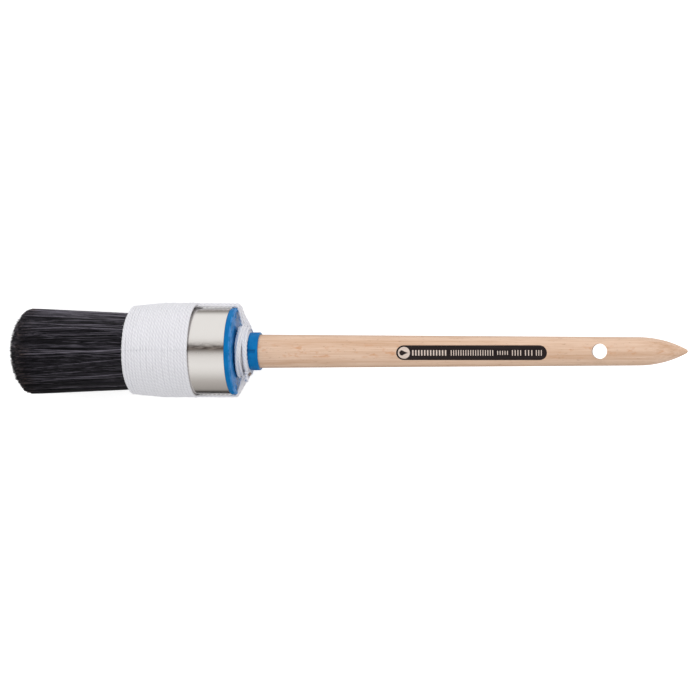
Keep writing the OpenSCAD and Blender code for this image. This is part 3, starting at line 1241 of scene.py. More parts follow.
    def build_tips(self) -> None:
        """The last stretch of the inner hairs, which shows on the rounded tip."""
        rng = np.random.default_rng(Seed.HAIR_TIPS)
        count = self.tip_count
        share = 0.955 * np.sqrt(rng.uniform(0, 1, count))
        angle = rng.uniform(0, TURN, count)
        end = self.tip_station(share) + rng.normal(0.10 * MM, self.tip_uneven, count)
        start = end + rng.uniform(*self.tip_lengths, count) * MM
        rings, sides = 5, 3
        t = np.linspace(0, 1, rings)[None]
        station = start[:, None] + (end - start)[:, None] * t
        tufts = np.stack([np.sin(9 * angle + 40 * share), np.cos(13 * angle - 31 * share)])
        stray = rng.normal(0, self.tip_stray, (2, count, 1))
        spread = (self.tip_gather * tufts[:, :, None] + stray) * t
        paths = self.axis.place(station, share[:, None] * self.full_radius * 0.985, angle[:, None])
        paths[..., 1] += spread[0]
        paths[..., 2] += spread[1]
        radii = self.taper(count, rings, sides, rng)
        tone = np.clip(rng.normal(0.45, 0.22, count) + 0.15 * np.sin(11 * angle), 0, 1)
        tips = sweep_tubes("bristle_tips", paths, radii, np.zeros((count, rings)), HAIR_ATLAS, tone)
        self.pieces.append(tips)

    def build_core(self) -> None:
        """A dark body below the hairs, which keeps light out of the bundle."""
        shrink = 1 - self.lock_depth * 0.95
        profile = []
        for i in range(self.core_steps + 1):
            share = math.sin(math.pi / 2 * i / self.core_steps)
            station = float(self.tip_station(np.array(share))) + self.core_sink
            profile.append((station, share * self.full_radius * shrink))
        profile[0] = (profile[0][0], 0.0)
        root_radius = float(self.side_radius(np.array(self.root_station))) * shrink
        profile += [(self.root_station, root_radius), (self.root_station, 0.0)]
        self.pieces.append(lathe("bristle_core", self.axis, profile, even_angles(96)))

    def build(self, effects: Effects) -> list:
        """Builds and dresses the bundle.

        Args:
            effects: The shared shader groups.

        Returns:
            The pieces.
        """
        self.build_skin()
        self.build_tips()
        self.build_core()
        material = BristleFinish().make(effects)
        for piece in self.pieces:
            dress(piece, material)
            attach(piece, "root")
            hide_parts("bristle_pack")
        return self.pieces


# ---- Cord -------------------------------------------------------------------------------


@dataclass
class TwistedCord:
    """A cord of three plies, swept along a route.

    Args:
        radius: Outer radius over the plies.
        lay: Length of one full twist.
        plies: Number of plies.
        ply: Radius of a ply, as a share of the outer radius.
        squash: Height of the valleys between the plies, as a share of the outer radius.
        sides: Corners of the cord's section.
        steps_per_lay: Rings of the mesh in one full twist.
        plies_per_turn: Plies that pass along one turn of a coil.
        flatten: Width of a coil's cord, as a share of its height.
        coil_relief: Depth of the valleys in a coil, as a share of a loose cord's.
    """

    radius: float = 0.655 * MM
    lay: float = 5.4 * MM
    plies: int = 3
    ply: float = 0.464
    squash: float = 0.76
    sides: int = 12
    steps_per_lay: int = 14
    plies_per_turn: float = 65.06
    flatten: float = 1.20
    coil_relief: float = 0.62

    def section(self) -> tuple:
        """The cord's section, as shares of the outer radius.

        Returns:
            The radius of each corner, and its height over the valleys.
        """
        angle = even_angles(self.sides)
        sector = TURN / self.plies
        off = (angle + sector / 2) % sector - sector / 2
        mid = 1 - self.ply
        reach = mid * np.cos(off) + np.sqrt(np.maximum(self.ply**2 - (mid * np.sin(off)) ** 2, 0))
        shape = np.maximum(reach, self.squash)
        return shape, (shape - self.squash) / (1 - self.squash)

    def resample(self, route: np.ndarray) -> np.ndarray:
        """Points at even steps along a route.

        Args:
            route: Points, N by 3.

        Returns:
            The new points.
        """
        lengths = lengths_along(route[None])[0]
        count = max(4, int(lengths[-1] / (self.lay / self.steps_per_lay)))
        even = np.linspace(0, lengths[-1], count)
        return np.stack([np.interp(even, lengths, route[:, i]) for i in range(3)], axis=1)

    def sweep(self, name: str, routes: list, seed: int, rows: int) -> bpy.types.Object:
        """Sweeps the cord along routes of points.

        Args:
            name: Name of the object.
            routes: Arrays of points; each becomes one stretch of cord.
            seed: Seed of the cord's unevenness.
            rows: Strips in the bake's texture.

        Returns:
            The object.
        """
        rng = np.random.default_rng(seed)
        even = [self.resample(r) for r in routes]
        rings = max(len(e) for e in even)
        grid = np.linspace(0, 1, rings)
        paths = []
        for points in even:
            place = np.linspace(0, 1, len(points))
            paths.append(np.stack([np.interp(grid, place, points[:, i]) for i in range(3)], axis=1))
        paths = np.stack(paths)
        shape, crown = self.section()
        length = lengths_along(paths)
        uneven = 1 + 0.035 * smooth_noise(rng, length, 5, 300, 3000)
        radii = self.radius * shape[None, None] * uneven[..., None]
        turns = -TURN * length / self.lay + rng.uniform(0, TURN, len(paths))[:, None]
        atlas = Atlas(max(rows, len(paths)))
        if len(paths) == 1:
            atlas = Atlas(rows, math.ceil((rings - 1) / rows))
        heights = np.broadcast_to(crown, radii.shape)
        return sweep_tubes(name, paths, radii, turns, atlas, rng.uniform(0, 1, len(paths)), heights)

    def sweep_coil(
        self, name: str, path: np.ndarray, angle: np.ndarray, seed: int, rows: int
    ) -> bpy.types.Object:
        """Sweeps the cord along a close coil, where the plies of neighbouring turns line up.

        Args:
            name: Name of the object.
            path: Points of the coil, at even steps.
            angle: Winding angle of each point.
            seed: Seed of the cord's unevenness.
            rows: Strips in the bake's texture.

        Returns:
            The object.
        """
        rng = np.random.default_rng(seed)
        shape, crown = self.section()
        turn = (angle - angle[0]) / TURN
        snug = 0.90 + 0.15 * np.clip((turn - 1.0) / 4, 0, 1)
        uneven = snug * (1 + 0.03 * smooth_noise(rng, angle, 6, 2.0, 60.0))
        low = 1 - (1 - shape) * self.coil_relief
        radii = self.radius * low[None, None] * uneven[None, :, None]
        wander = 1.1 * smooth_noise(rng, angle % TURN, 4, 1.0, 6.0)
        wander = wander + 0.75 * smooth_noise(rng, angle, 6, 0.7, 9.0)
        turns = (wander - angle * self.plies_per_turn / self.plies)[None]
        atlas = Atlas(rows, math.ceil((len(path) - 1) / rows))
        heights = np.broadcast_to(crown, radii.shape)
        return sweep_tubes(name, path[None], radii, turns, atlas, np.array([0.5]), heights, self.flatten)


@dataclass(frozen=True)
class Strap:
    """One of the two straps over the ferrule.

    Args:
        name: Name of its side.
        side: 1 for the left side, at +Y, or -1 for the right one.
        radius: Outer radius of its strands.
        spacing: Distance between its strands, as a share of their thickness.
        lifts: Extra height of each strand over the rim, in millimetres, where it lies on its neighbours.
        corner: Distance from the rim's back face to where the strands bend down.
        landing: Height over the neck where they reach the collar.
    """

    name: str
    side: int
    radius: float
    spacing: float
    lifts: tuple
    corner: float
    landing: float


STRAPS = (
    Strap("left", 1, 0.66 * MM, 0.86, (0.05, 0.70, 0.65, 0.10), 0.85 * MM, 3.1 * MM),
    Strap("right", -1, 0.52 * MM, 0.98, (0.0, 0.10, 0.08, 0.0), 1.25 * MM, 2.3 * MM),
)


@dataclass
class CordBinding:
    """The whole binding: two layers of turns, two straps, the lashings, the knot and the tail.

    Args:
        axis: The brush's axis.
        wound: Middle of the winding, which lies a little to the left of the axis.
        start: Station of the first turn's front edge.
        end: Station of the last turn's back edge.
        outer_radius: Outer radius of the finished winding.
        base_end: Station where the lower layer stops.
        rim_radius: Outer radius of the cap's rim.
        rim_end: Station of the rim's back face.
        neck_radius: Radius of the cap's neck.
        collar_start: Station of the collar's front face.
        pitch: Distance from turn to turn.
        waist_length: Length over which the winding widens from its front edge.
        squeeze: How much narrower the winding is at its front edge.
        layer_rise: Height of the outer layer over the lower one.
        hugs: For each strand of a strap, 0 to run straight to the collar and 1 to hug the cap's back.
    """

    axis: Axis
    wound: Axis
    start: float
    end: float
    outer_radius: float
    base_end: float
    rim_radius: float
    rim_end: float
    neck_radius: float
    collar_start: float
    cord: TwistedCord = field(default_factory=TwistedCord)
    pitch: float = 1.27 * MM
    waist_length: float = 14.0 * MM
    squeeze: float = 1.2 * MM
    layer_rise: float = 1.146 * MM
    hugs: tuple = (0.0, 0.15, 0.45, 0.8)
    fibres: int = 1800
    fibre_radius: float = 0.018 * MM
    pieces: list = field(default_factory=list)

    def turn_radius(self, station: np.ndarray, layer: int) -> np.ndarray:
        """Radius of the middle of a turn.

        Args:
            station: Station of the turn.
            layer: 0 for the lower layer, 1 for the outer one.

        Returns:
            The radius.
        """
        full = self.outer_radius - self.cord.radius
        share = np.clip((station - self.start) / self.waist_length, 0, 1)
        return full - self.squeeze * (1 - share) - (1 - layer) * self.layer_rise

    def coil(self, first: float, last: float, layer: int, seed: int) -> tuple:
        """Route of one layer of turns.

        Args:
            first: Station of the first turn's middle.
            last: Station of the last turn's middle.
            layer: 0 for the lower layer, 1 for the outer one.
            seed: Seed of the turns' unevenness.

        Returns:
            The points and the winding angle of each.
        """
        rng = np.random.default_rng(seed)
        turns = (last - first) / self.pitch
        angle = np.linspace(0, turns * TURN, int(turns * 300)) + math.pi
        station = first + (angle - math.pi) / TURN * self.pitch
        loose = 0.035 + 0.05 * np.exp(-(angle - math.pi) / (1.5 * TURN))
        station = station + loose * MM * smooth_noise(rng, angle, 6, 0.4, 5.0)
        radius = self.turn_radius(station, layer) + 0.05 * MM * smooth_noise(rng, angle, 6, 0.5, 7.0)
        if layer == 1:
            side = np.abs(np.sin(angle)) ** 24
            near_end = np.clip((station - self.end + 4.2 * MM) / (3.4 * MM), 0, 1)
            radius = radius + 0.06 * MM * side * near_end
            station = station + 0.25 * MM * side * near_end**3
        return self.wound.place(station, radius, angle), angle

    def build_winding(self) -> None:
        """The two layers of turns over the bristle root and the ferrule's front."""
        r = self.cord.radius
        first, last = self.start + r + 0.1 * MM, self.end - r + self.pitch / 2 + 0.3 * MM
        outer = self.coil(first, last, 1, Seed.OUTER_TURNS)
        base = self.coil(self.start + r - self.pitch / 2, self.base_end - r, 0, Seed.BASE_TURNS)
        rows = 22
        top = self.cord.sweep_coil("winding_outer", *outer, Seed.OUTER_CORD, rows)
        low = self.cord.sweep_coil("winding_base", *base, Seed.BASE_CORD, rows)
        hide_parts("binding_outer_layer")
        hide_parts("binding_base_layer")
        self.pieces += [top, low]

    def strap_route(self, strap: Strap, number: int, offset: float) -> np.ndarray:
        """Route of one strand over the ferrule and down to the neck.

        Args:
            strap: The strap that it belongs to.
            number: Its number in the strap.
            offset: Distance of the strand from the strap's middle, upwards.

        Returns:
            The points.
        """
        rng = np.random.default_rng(Seed.STRAP_STRANDS + strap.side * 10 + number)
        hug = self.hugs[number]
        over = self.rim_radius + strap.radius + 0.03 * MM + strap.lifts[number] * MM
        corner_x = self.rim_end - strap.corner
        corner_r = self.rim_radius - 0.45 * MM
        bend = over - corner_r
        end_x = self.collar_start - strap.radius - (2.9 * MM) * hug
        end_r = self.neck_radius + strap.landing - 0.2 * MM * hug
        reach = math.hypot(end_x - corner_x, end_r - corner_r)
        leave = math.atan2(end_r - corner_r, end_x - corner_x) + math.acos(min(1, bend / reach))
        points = [(self.end - 3.4 * MM, over - 0.5 * MM), (self.end - 1.2 * MM, over - 0.12 * MM)]
        points += [(x, over) for x in np.linspace(self.end, corner_x - 0.6 * MM, 12)]
        for i in range(7):
            a = math.pi / 2 + (leave - math.pi / 2) * i / 6
            points.append((corner_x + bend * math.cos(a), corner_r + bend * math.sin(a)))
        last_x, last_r = points[-1]
        for i in range(1, 9):
            points.append((last_x + (end_x - last_x) * i / 8, last_r + (end_r - last_r) * i / 8))
        points += [(end_x - 0.25 * MM, end_r - 1.1 * MM), (end_x - 0.5 * MM, end_r - 2.0 * MM)]
        station, radius = np.array(points).T
        t = np.linspace(0, 1, len(points))
        across = offset * (1 - 0.45 * t**3) + 0.10 * MM * smooth_noise(rng, t, 3, 3, 12)
        radius = radius + 0.06 * MM * smooth_noise(rng, t, 3, 5, 16)
        angle = strap.side * (math.pi / 2 - np.arcsin(np.clip(across / radius, -1, 1)))
        return self.axis.place(station, radius, angle)

    def build_straps(self) -> None:
        """The two straps, each of a few strands that fan out behind the cap's rim."""
        for strap in STRAPS:
            step = 2 * strap.radius * strap.spacing
            routes = []
            for number in range(len(self.hugs)):
                offset = (number - (len(self.hugs) - 1) / 2) * step
                routes.append(smooth_route(self.strap_route(strap, number, offset)))
            cord = TwistedCord(radius=strap.radius)
            piece = cord.sweep(f"cord_strap_{strap.name}", routes, Seed.STRAP_CORD + strap.side, 8)
            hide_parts(f"strap_{strap.name}")
            self.pieces.append(piece)

    def heap(self, laps: list, seed: int, sway: float) -> np.ndarray:
        """Route of turns heaped round the neck, some of them slanting across the others.

        Args:
            laps: For each turn its station, its radius and its slant to the handle at +Y.
            seed: Seed of the turns' unevenness.
            sway: How far the turns wander.

        Returns:
            The points.
        """
        rng = np.random.default_rng(seed)
        steps = 90
        angle = np.arange(len(laps) * steps) / steps * TURN + math.pi
        turn = (angle - math.pi) / TURN
        whole = np.clip(np.floor(turn).astype(int), 0, len(laps) - 1)
        after = np.clip(whole + 1, 0, len(laps) - 1)
        part = np.clip((turn - whole - 0.80) / 0.20, 0, 1)
        part = part * part * (3 - 2 * part)
        table = np.array(laps)
        station, radius, slant = (table[whole] * (1 - part[:, None]) + table[after] * part[:, None]).T
        station = station + slant * np.sin(angle) + sway * smooth_noise(rng, angle, 5, 0.6, 4.0)
        radius = radius + sway * smooth_noise(rng, angle, 5, 0.6, 5.0)
        return self.axis.place(station, radius, angle)

    def build_lashings(self) -> None:
        """The heap of turns against the cap and the looser turns against the collar."""
        r = self.cord.radius
        x = self.rim_end + r
        low = self.neck_radius + r
        fat, rise = 1.0 * MM, 0.98 * MM
        heaped = [
            (x, low, 0.0), (x + 1.2 * fat, low, 0.0), (x + 2.3 * fat, low, 0.05 * MM),
            (x + 1.9 * fat, low + rise, 0.35 * MM), (x + 0.7 * fat, low + rise, -0.30 * MM),
            (x + 0.2 * fat, low + 1.5 * rise, 0.10 * MM), (x + 1.2 * fat, low + 1.9 * rise, 0.80 * MM),
            (x + 1.2 * fat, low + 2.4 * rise, -0.60 * MM), (x + 0.8 * fat, low + 2.7 * rise, 0.75 * MM),
            (x + 1.6 * fat, low + 2.1 * rise, 0.70 * MM),
        ]
        collar_x = self.collar_start - r
        loose = [
            (collar_x, low, -0.05 * MM), (collar_x - 0.1 * MM, low + rise, -0.25 * MM),
            (collar_x - 0.50 * MM, low + 1.8 * rise, -0.60 * MM),
            (collar_x + 0.1 * MM, low + 1.7 * rise, -0.15 * MM),
        ]
        neck_route = self.heap(heaped, Seed.NECK_TURNS, 0.09 * MM)
        back_route = self.heap(loose, Seed.COLLAR_TURNS, 0.10 * MM)
        neck = self.cord.sweep("neck_turns", [neck_route], Seed.NECK_CORD, 10)
        back = self.cord.sweep("collar_turns", [back_route], Seed.COLLAR_CORD, 6)
        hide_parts("neck_lashing")
        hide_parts("collar_lashing")
        self.pieces += [neck, back]

    def build_knot(self) -> None:
        """The overhand knot at the neck's right side, with its trimmed end."""
        low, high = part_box("knot")
        mid = np.array([(a + b) / 2 for a, b in zip(low, high, strict=True)])
        size = 0.62 * MM
        t = np.linspace(0.12, 0.88, 70) * TURN + math.radians(60)
        loop = np.stack([
            -np.sin(3 * t) * 0.9,
            np.cos(t) - 2 * np.cos(2 * t),
            np.sin(t) + 2 * np.sin(2 * t),
        ], axis=1)
        lead = loop[0] + np.array([[-1.4, 1.8, 1.6], [-0.7, 0.9, 0.8]])
        trail = loop[-1] + np.array([[0.8, -0.6, -0.6], [1.8, -0.8, -1.0]])
        route = np.concatenate([lead, loop, trail]) * size + mid
        tight = TwistedCord(radius=0.50 * MM, lay=4.4 * MM)
        knot = tight.sweep("tied_knot", [smooth_route(route)], Seed.KNOT, 4)
        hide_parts("knot")
        low, high = (np.array(c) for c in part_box("cord_tail"))
        mid = (low + high) / 2
        end = low[0] + 0.75 * MM
        ends = np.array([
            [low[0] - 1.1 * MM, mid[1] - 0.2 * MM, mid[2] - 0.2 * MM],
            [low[0] - 0.5 * MM, mid[1] - 0.3 * MM, mid[2] + 0.2 * MM],
            [low[0] + 0.2 * MM, mid[1] - 0.5 * MM, mid[2] + 0.5 * MM],
            [end, mid[1] - 0.9 * MM, mid[2] + 0.7 * MM],
        ])
        thick = TwistedCord(radius=0.85 * MM)
        tail = thick.sweep("trimmed_end", [smooth_route(ends)], Seed.TRIMMED_END, 2)
        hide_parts("cord_tail")
        self.pieces += [knot, tail]

    def build_fuzz(self) -> None:
        """Loose fibres that stand off the winding."""
        rng = np.random.default_rng(Seed.FUZZ)
        count = self.fibres
        station = rng.uniform(self.start, self.end, count)
        angle = rng.uniform(0, TURN, count)
        surface = self.turn_radius(station, 1) + self.cord.radius
        rings, sides = 4, 3
        t = np.linspace(0, 1, rings)[None]
        length = rng.uniform(0.4, 1.1, count)[:, None] * MM
        lift = rng.uniform(0.1, 0.45, count)[:, None] * length
        turn = rng.uniform(-1, 1, count)[:, None] * length * t / surface[:, None]
        slide = rng.uniform(-1, 1, count)[:, None] * length * t * 0.6
        arch = lift * np.sin(t * math.pi * rng.uniform(0.5, 0.9, count)[:, None])
        rooted = surface[:, None] - 0.08 * MM + arch
        paths = self.wound.place(station[:, None] + slide, rooted, angle[:, None] + turn)
        radii = np.full((count, rings, sides), self.fibre_radius)
        tone = rng.uniform(0, 1, count)
        crown = np.ones(radii.shape)
        fuzz = sweep_tubes("cord_fuzz", paths, radii, np.zeros((count, rings)), Atlas(32), tone, crown)
        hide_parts("binding_outer_layer")
        self.pieces.append(fuzz)

    def build(self, effects: Effects) -> list:
        """Builds and dresses the binding.

        Args:
            effects: The shared shader groups.

        Returns:
            The pieces.
        """
        self.build_winding()
        self.build_straps()
        self.build_lashings()
        self.build_knot()
        self.build_fuzz()
        material = CordFinish().make(effects)
        dark_end = CordFinish(dark_end=True).make(effects)
        for piece in self.pieces:
            dress(piece, dark_end if piece.name == "trimmed_end" else material)
            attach(piece, "root")
        return self.pieces


# ---- Ferrule, cap and handle ---------------------------------------------------------------


@dataclass
class HardPieces:
    """The pieces that keep their CAD shape and get a finish: ferrule, handle and inner parts.

    Args:
        axis: The brush's axis.
    """

    axis: Axis

    def build(self, effects: Effects) -> list:
        """Dresses the CAD pieces.

        Args:
            effects: The shared shader groups.

        Returns:
            The pieces.
        """
        nodes = frame["nodes"]
        finishes = {
            "ferrule": (NickelFinish(self.axis.height), "plated_steel"),
            "handle": (BeechFinish(self.axis.height), "beech"),
            "setting_resin": (InnerFinish(InnerStuff.RESIN), "resin"),
            "core_plug": (InnerFinish(InnerStuff.PLUG), "core_wood"),
        }
        for name, (finish, slot) in finishes.items():
            dress(nodes[name], finish.make(effects))
        return [nodes[name] for name in finishes]


@dataclass
class EndCap:
    """The moulded cap, with eased edges and the slot in its collar.

    Args:
        axis: The brush's axis.
        front: Station of the skirt's front edge.
        back: Station of the collar's back face.
        rim_radius: Radius of the rim.
    """

    axis: Axis
    front: float
    back: float
    rim_radius: float
    skirt_length: float = 4.2 * MM
    skirt_radius: float = 16.95 * MM
    skirt_wall: float = 1.3 * MM
    rim_length: float = 2.4 * MM
    lip_width: float = 1.5 * MM
    dish_depth: float = 0.45 * MM
    neck_radius: float = NECK_RADIUS
    collar_radius: float = 7.7 * MM
    collar_length: float = 4.1 * MM
    seat_radius: float = 6.8 * MM
    seat_depth: float = 3.3 * MM
    bore_radius: float = 5.55 * MM
    slot_width: float = 1.3 * MM
    slot_depth: float = 0.68 * MM
    slot_length: float = 3.1 * MM
    slot_draft: float = 0.003
    segments: int = 240

    def outline(self) -> list:
        """The cap's outline, with its roundings.

        Returns:
            Points of (station, radius).
        """
        rim = self.front + self.skirt_length
        rim_end = rim + self.rim_length
        floor = rim_end - self.dish_depth
        collar = self.back - self.collar_length
        slot_end = collar + self.slot_length
        seat = self.back - self.seat_depth
        bore = self.skirt_radius - self.skirt_wall
        lip = self.rim_radius - self.lip_width
        chamfer = 0.55 * MM
        corners = [
            (rim, 0.0, 0.0), (rim, bore, 0.0),
            (self.front, bore, 0.12 * MM), (self.front, self.skirt_radius, 0.2 * MM),
            (rim, self.skirt_radius, 0.0), (rim, self.rim_radius, 0.30 * MM),
            (rim_end - chamfer, self.rim_radius, 0.25 * MM), (rim_end, self.rim_radius - chamfer, 0.25 * MM),
            (rim_end, lip, 0.15 * MM), (floor, lip - 0.35 * MM, 0.20 * MM),
            (floor + 0.30 * MM, lip - 2.2 * MM, 0.50 * MM), (floor - 0.05 * MM, lip - 3.0 * MM, 0.20 * MM),
            (floor + 0.15 * MM, lip - 4.6 * MM, 0.60 * MM), (floor, self.neck_radius, 0.35 * MM),
            (collar, self.neck_radius, 0.15 * MM), (collar, self.collar_radius, 0.22 * MM),
            (slot_end, self.collar_radius, 0.0), (slot_end + 0.02 * MM, self.collar_radius, 0.0),
            (self.back, self.collar_radius, 0.34 * MM), (self.back, self.seat_radius, 0.12 * MM),
            (seat, self.seat_radius, 0.0), (seat, self.bore_radius, 0.0),
            (floor - 0.6 * MM, self.bore_radius, 0.0), (floor - 0.6 * MM, 0.0, 0.0),
        ]
        return ease_corners(corners)

    def carve_slot(self, station: float, radius: float, around: np.ndarray) -> np.ndarray:
        """Radii of one ring of the cap, cut down where the slot crosses it.

        Args:
            station: Station of the ring.
            radius: Its radius before the cut.
            around: Angles of its points.

        Returns:
            The radii.
        """
        collar = self.back - self.collar_length
        near = 1e-6
        wrapped = (around + math.pi) % TURN - math.pi
        inside = np.abs(wrapped) <= self.half_slot() + near
        cut = np.minimum(radius, (self.collar_radius - self.slot_depth) / np.cos(wrapped))
        along = collar - near <= station <= collar + self.slot_length + near
        return np.where(inside & (along and radius > self.neck_radius), cut, radius)

    def half_slot(self) -> float:
        """Half the slot's width, as an angle."""
        return self.slot_width / 2 / self.collar_radius

    def build(self, effects: Effects) -> bpy.types.Object:
        """Builds and dresses the cap.

        Args:
            effects: The shared shader groups.

        Returns:
            The piece.
        """
        half = self.half_slot()
        edges = np.array([half, half + self.slot_draft, TURN - half - self.slot_draft, TURN - half])
        even = even_angles(self.segments)
        clear = np.min(np.abs(even[:, None] - edges[None]), axis=1) > self.slot_draft + 0.001
        angles = np.sort(np.concatenate([even[clear], edges]))
        cap = lathe("cap_with_collar", self.axis, self.outline(), angles, self.carve_slot)
        rim = self.axis.tip_x + self.front + self.skirt_length + self.rim_length
        dress(cap, BlueMouldFinish(rim - self.dish_depth, rim).make(effects))
        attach(cap, "root")
        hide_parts("end_cap")
        return cap


@dataclass(frozen=True)
class BarRow:
    """A row of plain upright bars on the printed panel.

    Args:
        start: Where the row starts, from the panel's front end.
        end: Where it ends.
        bars: Number of bars.
        width_share: Width of a bar as a share of the pitch.
        half_height: Half the bars' height.
    """

    start: float
    end: float
    bars: int
    width_share: float = 0.5
    half_height: float = 1.1 * MM


Outline = Callable[[np.ndarray], tuple]


@dataclass
class PrintedPanel:
    """The printed black panel on the handle, with a plain drop sign and rows of bars.

    Args:
        axis: The brush's axis.
        point_station: Station of the handle's point.
        collar_station: Station where the handle leaves the collar.
        handle_radius: Radius at the collar.
        end_radius: Radius where the pointed end starts.
        film: Thickness of a coat of ink.
        thin: Half the width at the very ends of a mark, which keeps its outline open.
    """

    axis: Axis
    point_station: float
    collar_station: float
    handle_radius: float
    end_radius: float
    point_length: float = 20.0 * MM
    length: float = 59.7 * MM
    width: float = 6.1 * MM
    from_point: float = 84.6 * MM
    sideways: float = -0.62 * MM
    film: float = 0.03 * MM
    thin: float = 0.02 * MM
    sign_station: float = 3.1 * MM
    disc_radius: float = 2.4 * MM
    drop_radius: float = 1.05 * MM
    drop_shift: float = 0.75 * MM
    rows: tuple = (
        BarRow(6.4 * MM, 20.0 * MM, 12, 0.46),
        BarRow(21.8 * MM, 38.6 * MM, 18, 0.36),
        BarRow(40.2 * MM, 44.4 * MM, 5, 0.34, 0.80 * MM),
        BarRow(46.0 * MM, 49.6 * MM, 4, 0.34),
        BarRow(51.1 * MM, 54.0 * MM, 3, 0.32),
        BarRow(55.4 * MM, 57.7 * MM, 3, 0.36),
    )

    def surface(self, station: np.ndarray, across: np.ndarray, lift: float) -> np.ndarray:
        """Points on the handle's top at a station and a distance across it.

        Args:
            station: Distance from the bristle tip.
            across: Distance towards +Y along the surface.
            lift: Height over the wood.

        Returns:
            The points.
        """
        start = self.collar_station
        stop = self.point_station - self.point_length
        share = np.clip((station - start) / (stop - start), 0, 1)
        radius = self.handle_radius + (self.end_radius - self.handle_radius) * share
        return self.axis.place(station, radius + lift, across / radius)

    def patch(self, outline: Outline, start: float, end: float, steps: tuple, lift: float) -> tuple:
        """A closed thin patch inside an outline.

        Args:
            outline: Function from stations to the patch's lower and upper edge there.
            start: First station.
            end: Last station.
            steps: Number of steps along the patch and across it.
            lift: Height of its top over the wood.

        Returns:
            Vertices and faces.
        """
        columns, rows = steps
        t = np.linspace(0, 1, columns + 1)
        s = start + (end - start) * (1 - np.cos(math.pi * t)) / 2
        low, high = outline(s)
        share = np.linspace(0, 1, rows + 1)
        station = np.repeat(s[:, None], rows + 1, axis=1)
        across = low[:, None] + (high - low)[:, None] * share[None]
        top = self.surface(station, across + self.sideways, lift).reshape(-1, 3)
        bottom = self.surface(station, across + self.sideways, lift - self.film).reshape(-1, 3)
        i, j = np.meshgrid(np.arange(columns), np.arange(rows), indexing="ij")
        a = (i * (rows + 1) + j).reshape(-1)
        b = a + rows + 1
        up = np.stack([a, b, b + 1, a + 1], axis=-1)
        size = len(top)
        down = up[:, ::-1] + size
        edge = [n * (rows + 1) for n in range(columns + 1)]
        edge += [columns * (rows + 1) + n for n in range(1, rows + 1)]
        edge += [n * (rows + 1) + rows for n in range(columns - 1, -1, -1)]
        edge += list(range(rows - 1, 0, -1))
        edge = np.array(edge)
        nxt = np.roll(edge, -1)
        wall = np.stack([nxt, edge, edge + size, nxt + size], axis=-1)
        return np.concatenate([top, bottom]), np.concatenate([up, down, wall])

    def lozenge(self, start: float, end: float, lift: float) -> tuple:
        """The panel's own patch, straight with round ends.

        Args:
            start: Station of its front end.
            end: Station of its back end.
            lift: Height of its top over the wood.

        Returns:
            Vertices and faces.
        """
        half = self.width / 2

        def outline(s: np.ndarray) -> tuple:
            """The patch's edges.

            Args:
                s: The stations.

            Returns:
                The lower and the upper edge at each station.
            """
            inside = np.minimum(s - start, end - s)
            cap = np.clip(half - inside, 0, half)
            edge = np.sqrt(np.maximum(half**2 - cap**2, (1.5 * self.thin) ** 2))
            return -edge, edge

        return self.patch(outline, start, end, (150, 10), lift)

    def disc(self, mid: float, radius: float, lift: float) -> tuple:
        """A round patch.

        Args:
            mid: Station of its centre.
            radius: Its radius.
            lift: Height of its top over the wood.

        Returns:
            Vertices and faces.
        """

        def outline(s: np.ndarray) -> tuple:
            """The lower and upper edge at each station."""
            half = np.sqrt(np.maximum(radius**2 - (s - mid) ** 2, self.thin**2))
            return -half, half

        return self.patch(outline, mid - radius, mid + radius, (28, 8), lift)

    def drop(self, mid: float, radius: float, lift: float) -> tuple:
        """A drop-shaped patch that points to the handle's point.

        Args:
            mid: Station of its round end's centre.
            radius: Radius of its round end.
            lift: Height of its top over the wood.

        Returns:
            Vertices and faces.
        """
        tip = mid + 2.3 * radius

        def outline(s: np.ndarray) -> tuple:
            """The patch's edges.

            Args:
                s: The stations.

            Returns:
                The lower and the upper edge at each station.
            """
            round_part = np.sqrt(np.maximum(radius**2 - np.minimum(s - mid, 0) ** 2, self.thin**2))
            taper = np.clip((tip - s) / (tip - mid), 0, 1) ** 1.25
            half = np.where(s < mid, round_part, np.maximum(radius * taper, self.thin))
            return -half, half

        return self.patch(outline, mid - radius, tip, (28, 6), lift)

    def bar(self, start: float, length: float, half: float, lift: float) -> tuple:
        """A plain rectangular patch.

        Args:
            start: Station of its front end.
            length: Its length.
            half: Half its height across the panel.
            lift: Height of its top over the wood.

        Returns:
            Vertices and faces.
        """

        def outline(s: np.ndarray) -> tuple:
            """The lower and upper edge at each station."""
            return np.full_like(s, -half), np.full_like(s, half)

        return self.patch(outline, start, start + length, (2, 4), lift)

    def join(self, name: str, parts: list) -> bpy.types.Object:
        """One object from several patches.

        Args:
            name: Name of the object.
            parts: Vertices and faces of each patch.

        Returns:
            The object.
        """
        verts, faces, count = [], [], 0
        for points, quads in parts:
            verts.append(points)
            faces.append(quads + count)
            count += len(points)
        obj = make_object(name, np.concatenate(verts), [np.concatenate(faces)], {}, {})
        sharpen(obj, 0.6)
        return obj

